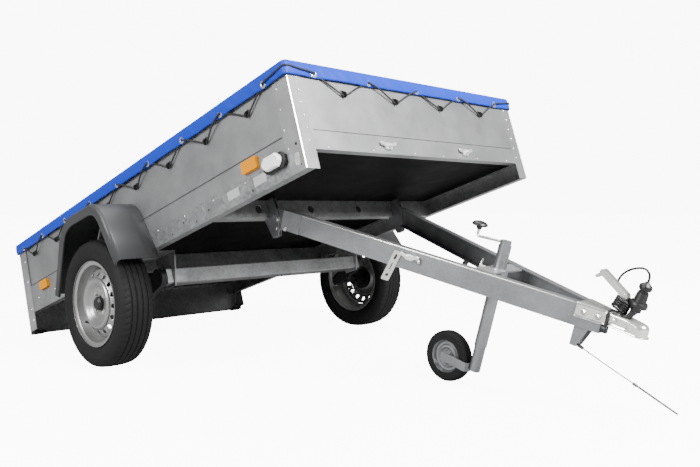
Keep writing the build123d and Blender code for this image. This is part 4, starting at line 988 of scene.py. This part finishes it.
def spun(shape, count):
    """Copies of a shape turned about the axle in equal steps: x and z mixed by cosine and sine."""
    made = []
    for angle in 2 * math.pi * np.arange(count) / count:
        c, s = math.cos(angle), math.sin(angle)
        made.append((shape[0] @ np.array([(c, 0, s), (0, 1, 0), (-s, 0, c)]), shape[1]))
    return join(*made)


radii = np.array([29, 45, 61, 66, 72, 80, 88, 92, 96, 99.5, 103, 106, 109, 112.0])
angles = np.arange(128) * 2 * np.pi / 128
dome = grid(disc_place(radii[:, None], angles[None]), close_columns=True)
skirt = grid(disc_place(np.array([137.0, 142, 148])[:, None], angles[None]), close_columns=True)
barrel = lathe(BARREL, (0, WHEEL_Y, 0), (0, 1, 0), 96)
rim_shape = join(dome, skirt, spun(vent_patch(), VENTS), barrel)
for side, hand in HANDS:
    piece(f"wheel_rim_{hand}", (rim_shape[0] * (1, side, 1), rim_shape[1]), LEVEL, wheel_lacquer,
          f"wheel_{hand}", stands_for=f"rim_{hand}", sheet=2.6)

# %% [markdown]
# ## Wheel bolts
# Each wheel hangs on four bolts on a circle of 98 millimetres, and a rubber valve stands in the
# rim's edge. Both could be left to a bump, but they catch the key light, so they are spun shapes
# of few sides.

# %% Wheel bolts and valves
BOLT_CIRCLE = 49.0             # radius of the wheel bolts' circle
for side, hand in HANDS:
    parts = [bolt(8.2, (BOLT_CIRCLE * math.cos(a), side * (FACE + 3), BOLT_CIRCLE * math.sin(a)),
                  (0, side, 0), a) for a in np.radians(45 + 90 * np.arange(4))]
    piece(f"wheel_bolts_{hand}", join(*parts), LEVEL, bright_zinc, f"wheel_{hand}")
    stem = lathe([(0, 0), (0, 5.5), (6, 5), (9, 3.8), (24, 3.6), (25, 4.2), (33, 4.2), (34, 3.4),
                  (34, 0)], (-96, side * (FACE - 2), -96), (0.35, side, 0.35), 12)
    piece(f"wheel_valve_{hand}", stem, LEVEL, black_rubber, f"wheel_{hand}")

# %% [markdown]
# ## The coupling
# The ball coupling is pressed from thick sheet and plated. Its edge rolls over on every side, and
# over the ball it domes. It could be a block with fillets, but the roll grows towards the nose, so
# the surface is drawn as rings: the plan's outline, moved in as it climbs.

# %% Coupling
COUPLING_REAR, ARM_END, BALL_X, NOSE = 1196.0, 1288.0, 1400.0, 29.2
COUPLING_BASE, COUPLING_TOP = -8.0, 41.0


def coupling_surface():
    """Plan outline moved by a stack of (outward, height) steps; its roll grows at the nose."""
    x = np.arange(COUPLING_REAR, BALL_X, 3.0)
    half = np.interp(x, [COUPLING_REAR, ARM_END, BALL_X], [58.5, 32.5, NOSE])
    angle = np.linspace(0, np.pi, 21)
    right = np.column_stack([x, -half])
    nose = np.column_stack([BALL_X + NOSE * np.sin(angle), -NOSE * np.cos(angle)])
    plan = np.vstack([right, nose, right[::-1] * (1, -1)])
    slope = np.gradient(plan, axis=0)
    outward = np.column_stack([slope[:, 1], -slope[:, 0]])
    outward /= np.linalg.norm(outward, axis=1, keepdims=True)
    at = plan[:, 0]
    lip = np.interp(at, [ARM_END - 8, ARM_END + 8, BALL_X - 20, BALL_X], [9, 2.5, 2.5, 5.5])
    roll = np.interp(at, [BALL_X - 34, BALL_X + 4], [8.0, 19.0])
    top = COUPLING_TOP - 4 * np.clip((at - ARM_END) / (BALL_X - ARM_END), 0, 1)
    along = np.maximum(np.abs(at - 1340) - 19, 0)
    rings = [(lip, 0 * at + COUPLING_BASE + 1), (lip, 0 * at + COUPLING_BASE + 3),
             (0 * at + 1.0, 0 * at + COUPLING_BASE + 3)]
    for share in np.linspace(0, 1, 14):
        height = (COUPLING_BASE + 5) * (1 - share) + (top - roll) * share
        depth = np.hypot(along, height - 14)
        rings.append((-1.8 * np.clip(4 - depth / 3, 0, 1), height))
    for bend in np.linspace(0, np.pi / 2, 8)[1:]:
        rings.append((-roll * (1 - np.cos(bend)), top - roll + roll * np.sin(bend)))
    layers = [np.column_stack([plan + outward * out[:, None], height]) for out, height in rings]
    edge = layers[-1]
    ridge = np.column_stack([np.minimum(at, BALL_X), 0 * at, top])
    for share in np.linspace(0, 1, 9)[1:]:
        layer = edge * (1 - share) + ridge * share
        slot = np.hypot(np.maximum(np.abs(layer[:, 0] - 1243) - 16, 0), layer[:, 1])
        layer[:, 2] -= 3 * np.clip(3 - slot / 2.5, 0, 1)
        layers.append(layer)
    return grid(np.array(layers))


piece("coupling_pressing", coupling_surface(), BAR, bright_zinc, "drawbar", 50,
      stands_for="coupling", sheet=3.2, offset=-1.0)
bolts = [bolt(9, (1225, -51.5, 14), (-0.27, -1, 0)), bolt(9, (1271, -38.8, 14), (-0.27, -1, 0)),
         bolt(9, (1319, -32.0, 21), (0, -1, 0))]
piece("coupling_bolts", mirrored(join(*bolts)), BAR, bright_zinc, "drawbar")

# %% [markdown]
# ## The coupling's lever
# The lever is a folded strip: two cheeks, a web between them and a finger rest that turns down at
# the end. A bent sheet with thickness could give it, but slabs at the lever's own angle need fewer
# faces and keep their edges.

# %% Lever
LEVER_PIVOT = np.array([1325.0, 0, 105.0])
LEVER_RISE = math.radians(29)
LEVER_REACH = 102.0            # from the pivot to the bend before the finger rest
FINGER_DROP = math.radians(42)
lever_way = np.array([-math.cos(LEVER_RISE), 0, math.sin(LEVER_RISE)])
lever_up = np.array([math.sin(LEVER_RISE), 0, math.cos(LEVER_RISE)])
lever_end = LEVER_PIVOT + LEVER_REACH * lever_way
finger_way = np.array([-math.cos(FINGER_DROP), 0, -math.sin(FINGER_DROP)])
finger_up = np.array([-math.sin(FINGER_DROP), 0, math.cos(FINGER_DROP)])
cheeks = join(slab(stadium(128, 22), -13, -10.4, 0.8), slab(stadium(128, 22), 10.4, 13, 0.8),
              copies(slab(oblong(104, 2.8, 1.2), -11, 11, 0.6), [(0, 9.4, 0)]))
lever = join(aim(cheeks, LEVER_PIVOT + LEVER_REACH / 2 * lever_way, lever_way, lever_up),
             aim(slab(stadium(38, 11), -12, 12, 1.5), lever_end + 13 * finger_way, finger_way,
                 finger_up),
             lathe([(-15.5, 0), (-15.5, 5), (-14, 6), (14, 6), (15.5, 5), (15.5, 0)], LEVER_PIVOT,
                   (0, 1, 0), 18),
             lathe([(-13.4, 0), (-13.4, 4.6), (13.4, 4.6), (13.4, 0)], lever_end, (0, 1, 0), 18),
             aim(slab(oblong(66, 20, 2), -7, 7), (1325, 0, 72), (0, 0, 1), (0, 1, 0)))
piece("coupling_handle", lever, BAR, bright_zinc, "drawbar", stands_for="coupling_lever")

# %% [markdown]
# ## The plug and its cable
# A seven-pin plug is parked in a socket on the coupling. Its ribs could be a bump, but they give
# the grip its outline against the pale ground, so each is a thin rod swept along the spun body.

# %% Plug and holder
PLUG_LEAN = math.radians(7)
PLUG_SEAT = np.array([1372.0, 0, 84.0])
plug_way = np.array([math.sin(PLUG_LEAN), 0, math.cos(PLUG_LEAN)])
plug_profile = [(0, 0), (0, 29), (1.5, 30), (12, 30), (14, 29), (18, 27), (18.6, 21), (52, 17.5),
                (53, 14), (58, 14), (59.5, 18), (63, 20.5), (74, 20.5), (78, 18), (82, 12),
                (86, 8), (88, 4.5), (88, 0)]
plug_body = lathe(plug_profile, PLUG_SEAT, plug_way, 40)
along, across, up = axes(plug_way)
rib_lines = np.array([[(20, 19.6), (36, 18.2), (51, 16.4)], [(64, 19.8), (69, 19.8), (74, 19.8)]])
ribs = []
for angle in np.arange(20) * math.pi / 10:
    spoke = math.cos(angle) * across + math.sin(angle) * up
    for line in rib_lines:
        path = PLUG_SEAT + line[:, :1] * along + line[:, 1:] * spoke
        ribs.append(sweep(path, circle(1.7, 6), spoke))
plug = piece("plug_body", join(plug_body, *ribs), BAR, black_plastic, "drawbar",
             stands_for="cable_plug")
holder = join(lathe([(-18, 0), (-18, 15), (-16, 17), (-1, 17), (-0.3, 16), (-0.3, 0)], PLUG_SEAT,
                    plug_way, 32),
              aim(slab([(-24, 0), (-10, 0), (9, 27), (-15, 30)], -12, 12, 1.5), (1372, 0, 40),
                  (1, 0, 0), (0, 0, 1)))
piece("plug_socket", holder, BAR, black_plastic, "drawbar", stands_for="plug_holder")
gland = join(aim(slab(oblong(24, 20, 5), -22, 0, 2), (1300, -34, -9), (1, 0, 0), (0, 1, 0)),
             lathe([(0, 6.5), (4, 6.5), (14, 4.2), (14, 3.4)], (1303, -40, -9), (0, 0, 1), 16))
gland = piece("cable_gland", gland, BAR, black_plastic, "drawbar")

# %% [markdown]
# ## The lighting cable
# The cable comes out of a gland at the right arm's end, winds round the lever's post and loops
# over into the plug's cap. It could be a chain of cylinders or a simulated rope, but it lies at
# rest, and its coil is regular, so it is one NURBS spline: a few points up to the post, fourteen
# for each turn of the coil, and the loop.

# %% Cable
CABLE = 8.0
COIL_TURNS, TURN_POINTS = 5.5, 14
COIL_MIDDLE = np.array([1321.0, 0, 72.0])
COIL_RADIUS, COIL_LEAN, COIL_ENDS = 27.5, math.radians(16), (-21, 24)
LEAD = [(1303, -40, -8), (1303, -40, 11), (1300, -40, 32), (1302, -35, 48)]
LOOP = [(1300, 28, 99), (1283, 26, 112), (1276, 23, 137), (1287, 20, 166), (1310, 13, 189),
        (1335, 7, 203), (1358, 2.5, 210.5), (1376, 0.5, 204.5), (1385.5, 0, 187.3),
        (1382.5, 0, 169.5)]


def coil_points():
    """Round the lever's post: radius times cosine and sine of the angle, at a steady pitch."""
    steps = np.arange(round(COIL_TURNS * TURN_POINTS) + 1)
    angle = (steps / TURN_POINTS * 2 - 0.5) * np.pi
    radius = COIL_RADIUS + random.normal(0, 0.3, len(steps)).cumsum().clip(-1.6, 1.6)
    climb = np.linspace(*COIL_ENDS, len(steps))
    forward = (math.cos(COIL_LEAN), 0, -math.sin(COIL_LEAN))
    upward = (math.sin(COIL_LEAN), 0, math.cos(COIL_LEAN))
    return (COIL_MIDDLE + (radius * np.cos(angle))[:, None] * forward
            + (radius * np.sin(angle))[:, None] * (0, 1, 0) + climb[:, None] * upward)


def spline_cord(name, points, diameter, material):
    """A round cord on one smooth NURBS spline whose control points are the route."""
    curve = bpy.data.curves.new(name, "CURVE")
    curve.dimensions = "3D"
    spline = curve.splines.new("NURBS")
    spline.points.add(len(points) - 1)
    spline.points.foreach_set("co", np.column_stack([points, np.ones(len(points))]).ravel())
    spline.order_u = 3
    spline.use_endpoint_u = True
    curve.resolution_u = 6
    curve.bevel_depth = diameter / 2
    curve.bevel_resolution = 3
    curve.use_fill_caps = True
    curve.materials.append(material)
    cord = bpy.data.objects.new(name, curve)
    bpy.context.scene.collection.objects.link(cord)
    return cord


def spline_line(cord):
    """The points of a cord's own spline, read from its curve bare, and their length."""
    bare = cord.copy()
    bare.data = cord.data.copy()
    bare.data.bevel_depth = 0
    mesh = bpy.data.meshes.new_from_object(bare)
    line = np.empty(len(mesh.vertices) * 3)
    mesh.vertices.foreach_get("co", line)
    line = line.reshape(-1, 3)
    bpy.data.objects.remove(bare)
    return line, float(np.linalg.norm(np.diff(line, axis=0), axis=1).sum())


# Soft vinyl cable sheath: smooth black that keeps a thin highlight.
cable_sheath = grained("pvc_cable_sheath", "#0a0a0b", 0.35, 0.7, 0.03)
cable_points = place(np.vstack([LEAD, coil_points(), LOOP]), BAR)
cable = spline_cord("lighting_cable", cable_points, CABLE * MM, cable_sheath)
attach(cable, "drawbar")
cable_length = spline_line(cable)[1]
print("cable", round(cable_length, 3), "m")

# %% [markdown]
# ## The safety cable
# A thin wire rope hangs from the bracket under the arms and ends in a long eye near the ground. A
# plain tube would have no lay, and a bump would not show the strands' outline, so six strands are
# helices wound on the rope's own spline.

# %% Safety cable
ROPE = 5.0
ROPE_REACH = (292, 113)        # how far forward and left of its top the rope's eye ends
ROPE_LOW = 3.6                 # height of the eye's end above the ground
EYE_LENGTH, EYE_WIDTH, SLEEVE = 150, 16, 16
CORE, LAY, STRAND = 0.55, 0.62, 0.38                   # as shares of the rope's radius

rope_top = place((1218.5, 0, -118), BAR) / MM
rope_tip = np.array([rope_top[0] + ROPE_REACH[0], rope_top[1] + ROPE_REACH[1], ROPE_LOW])
rope_way = (rope_tip - rope_top) / np.linalg.norm(rope_tip - rope_top)
rope_from, rope_to = rope_top + SLEEVE * rope_way, rope_tip - (EYE_LENGTH + SLEEVE) * rope_way
rope_points = np.array([rope_from, (rope_from + rope_to) / 2 - (0, 0, 3), rope_to]) * MM
rope_core = spline_cord("rope_core", rope_points, ROPE * MM, rope_zinc)
rope_line, rope_length = spline_line(rope_core)
bpy.data.objects.remove(rope_core)


def strands(line, radius, count=6, pitch=28.0):
    """Helices wound on a line: the angle grows with the length by a full turn each pitch."""
    line = line / MM
    reach = np.linspace(0, 1, len(line))
    fine = np.linspace(0, 1, 60)
    line = np.column_stack([np.interp(fine, reach, line[:, i]) for i in range(3)])
    along, across, up = axes(line[-1] - line[0])
    turns = fine * np.linalg.norm(line[-1] - line[0]) / pitch
    parts = [sweep(line, circle(radius * CORE, 8), up)]
    for k in range(count):
        angle = (turns + k / count) * 2 * np.pi
        path = line + radius * LAY * (np.cos(angle)[:, None] * across
                                      + np.sin(angle)[:, None] * up)
        parts.append(sweep(path, circle(radius * STRAND, 6), up))
    return join(*parts)


rope = piece("safety_rope", strands(rope_line, ROPE / 2), WORLD, rope_zinc, "drawbar", 60)
ring = stadium(EYE_LENGTH, EYE_WIDTH, 16)
rope_side = np.cross((0, 0, 1), rope_way)
rope_side /= np.linalg.norm(rope_side)
eye_middle = rope_tip - EYE_LENGTH / 2 * rope_way
loop = eye_middle + ring[:, :1] * rope_way + ring[:, 1:] * rope_side
following = np.roll(loop, -1, 0) - np.roll(loop, 1, 0)
following /= np.linalg.norm(following, axis=1, keepdims=True)
upward = np.cross(rope_way, rope_side)
sideways = np.cross(following, upward)
wire = circle(2.0, 8)
eye = grid(loop[:, None] + wire[None, :, :1] * sideways[:, None] + wire[None, :, 1:] * upward,
           close_rows=True, close_columns=True)
ferrule = lathe([(0, 3), (0, 5), (1, 5.6), (15, 5.6), (16, 5), (16, 3)], rope_to, rope_way, 16)
piece("rope_eye", eye, WORLD, rope_zinc, "drawbar")
ferrule_piece = piece("rope_ferrule", ferrule, WORLD, rope_zinc, "drawbar")
clip = lathe([(-14, 3), (-14, 5.4), (-12, 6), (15, 6), (16, 5.4), (16, 3)], rope_top, rope_way, 16)
clip_piece = piece("rope_clip", clip, WORLD, rope_zinc, "drawbar")
print("safety rope", round(rope_length, 3), "m")

# %% [markdown]
# ## Jack details
# The jack winds down by a bent crank with a mushroom grip, and a tommy-bar screw clamps its tube.
# The crank could be joined from cylinders, but a rod bends round its corners, so a circle is swept
# along a smooth line, and the grip and the screw are spun as they would be on a lathe.

# %% Jack crank, grip and clamp screw
crank_line = [(820, 0, 133.5), (780, 0, 129.4), (728, 0, 124), (719, 0, 124.5), (714.5, 0, 129),
              (714, 0, 137), (714, 0, 152)]
piece("crank_rod", sweep(smooth(crank_line, 5), circle(5.5, 14), (0, 1, 0.001)), BAR, bright_zinc,
      "jack", stands_for="jack_crank")
grip_profile = [(0, 0), (0, 10), (9, 11), (12, 22), (14.5, 29), (18, 31), (23, 29.5), (28, 23),
                (31, 13), (32, 6), (32, 0)]
piece("crank_grip", lathe(grip_profile, (714, 0, 149.5), (0, 0, 1), 40), BAR, black_plastic,
      "jack", stands_for="crank_knob")
screw = join(lathe([(0, 0), (0, 6), (50, 6), (52, 4), (52, 0)], (806, 0, 18), (-1, 0, 0), 16),
             lathe([(-29, 0), (-29, 3), (-27, 4), (27, 4), (29, 3), (29, 0)], (758, 0, 18),
                   (0, 0.25, 1), 12))
piece("clamp_screw", screw, BAR, bright_zinc, "drawbar")

# %% [markdown]
# ## The jockey wheel
# The jockey wheel's disc is pressed in rings round a plain hub. The rings could be stacked from
# cylinders, but a pressing flows from one to the next, so both sides are one spun profile each.

# %% Jockey wheel
JOCKEY = (714.0, 0, -371.0)
disc_profile = [(21, 65), (23, 64), (21, 61.5), (8, 56), (7, 48), (13, 42), (14, 35), (8, 28),
                (7, 22), (12, 19), (12.5, 15), (30, 15), (30.5, 10), (30.5, 0)]
disc = join(lathe(disc_profile, JOCKEY, (0, -1, 0), 48),
            lathe(disc_profile, JOCKEY, (0, 1, 0), 48),
            lathe([(-21, 65), (-10, 62), (10, 62), (21, 65)], JOCKEY, (0, 1, 0), 48))
piece("jockey_disc", disc, BAR, arm_zinc, "jockey_wheel", 30, stands_for="jockey_rim")

# %% [markdown]
# ## Straps, clips and bolts
# A punched strap hangs from each arm and catches the bed when it is let down, a cast wing clip
# sits beside it, and plated bolts hold the strap and the hinge lugs. The strap's slots could be
# cut through, but they are smaller than the steel is wide and look dark from every side, so thin
# inlays of painted shade stand for them.

# %% Straps
ARM_ROOT, ARM_TAPER = 398.0, 0.2873                    # each arm's distance and how it closes
STRAP_TOP, STRAP_WIDTH, STRAP_LENGTH = (552.0, 20.0), 33, 133
STRAP_LEAN = math.radians(17)
ARM_SPLAY = math.radians(16.1)
CLIP_AT, CLIP_WAY, WING_RISE = np.array([598.0, -229.2, 9.0]), np.array([0.961, 0.276, 0]), 0.3


def arm_side(x, out):
    """Distance of an arm's outer side from the middle at x, and out from it: the arms converge."""
    return ARM_ROOT - ARM_TAPER * x + out


straps = []
down = np.array([-math.sin(STRAP_LEAN), 0, -math.cos(STRAP_LEAN)])
for side, hand in HANDS:
    way = (math.cos(ARM_SPLAY), -side * math.sin(ARM_SPLAY), 0)
    start = np.array([STRAP_TOP[0], arm_side(STRAP_TOP[0], 5.5) * side, STRAP_TOP[1]])
    strap = slab(oblong(STRAP_LENGTH, STRAP_WIDTH, 5), -1.6, 1.6, 0.5)
    straps.append(aim(strap, start + 66 * down, down, way))
    # Each slot is a thin dark inlay of painted shade.
    cuts = [aim(slab(stadium(height, width) if height > width else oblong(height, width, 3),
                     -2.0, 2.0, 0.1), start + fall * down, down, way)
            for width, height, fall in ((9, 24, 26), (4, 30, 68), (12, 12.5, 108))]
    piece(f"strap_hole_shade_{hand}", join(*cuts), BAR, groove_shadow, "drawbar")
piece("punched_straps", join(*straps), BAR, bright_zinc, "drawbar",
      stands_for="latch_straps")
clip = [aim(slab(oblong(36, 22, 8), 0, 9, 2.0), CLIP_AT, CLIP_WAY, (0, 0, 1))]
for side in (-1, 1):
    clip.append(aim(slab(stadium(34, 13), 5, 12, 2.0), CLIP_AT + side * 23 * CLIP_WAY + (0, 0, 5),
                    CLIP_WAY + (0, 0, side * WING_RISE), -WING_RISE * side * CLIP_WAY + (0, 0, 1)))
piece("strap_clips", mirrored(join(*clip)), BAR, latch_zinc, "drawbar")
lug_bolts = [bolt(size, (x, -arm_side(max(x, 40), 3.0), z), (-0.276, -0.961, 0))
             for x, z, size in ((590, 8, 8), (633, 2, 8), (20, -8, 10), (24, -44, 10),
                                (62, -36, 9))]
piece("arm_bolts", mirrored(join(*lug_bolts)), BAR, bright_zinc, "drawbar")

# %% [markdown]
# ## Rolled edges
# Folded sheet has a round outside corner that draws a bright line along the arms and posts. The
# packed corners are sharp, and a bevel on them would change their mesh, so a thin rod along each
# edge catches the light instead. The rods are of paler zinc than the arms and posts, so their
# bright line is partly a painted highlight.

# %% Rolled edges
EDGE_TAPER = 0.2895            # the edge rods close a little faster, to stay in the corners
reach = np.linspace(60, 1190, 12)
arm_line = np.column_stack([reach, 1.0 - (ARM_ROOT - EDGE_TAPER * reach), 0 * reach + 35.4])
# The rods are paler than the zinc they edge: their bright line is partly a painted highlight.
arm_edge = sweep(arm_line, circle(2.4, 8), (0, 0, 1))
piece("arm_edge_highlights", mirrored(arm_edge), BAR, bright_zinc, "drawbar")
height = np.linspace(162, 494, 12)
post_line = np.column_stack([0 * height + 1276.6, 0 * height - 686.6, height])
post_edge = sweep(post_line, circle(2.6, 8), (0, 1, 0))
piece("post_edge_highlights", mirrored(post_edge), BED, bright_zinc, "bed")
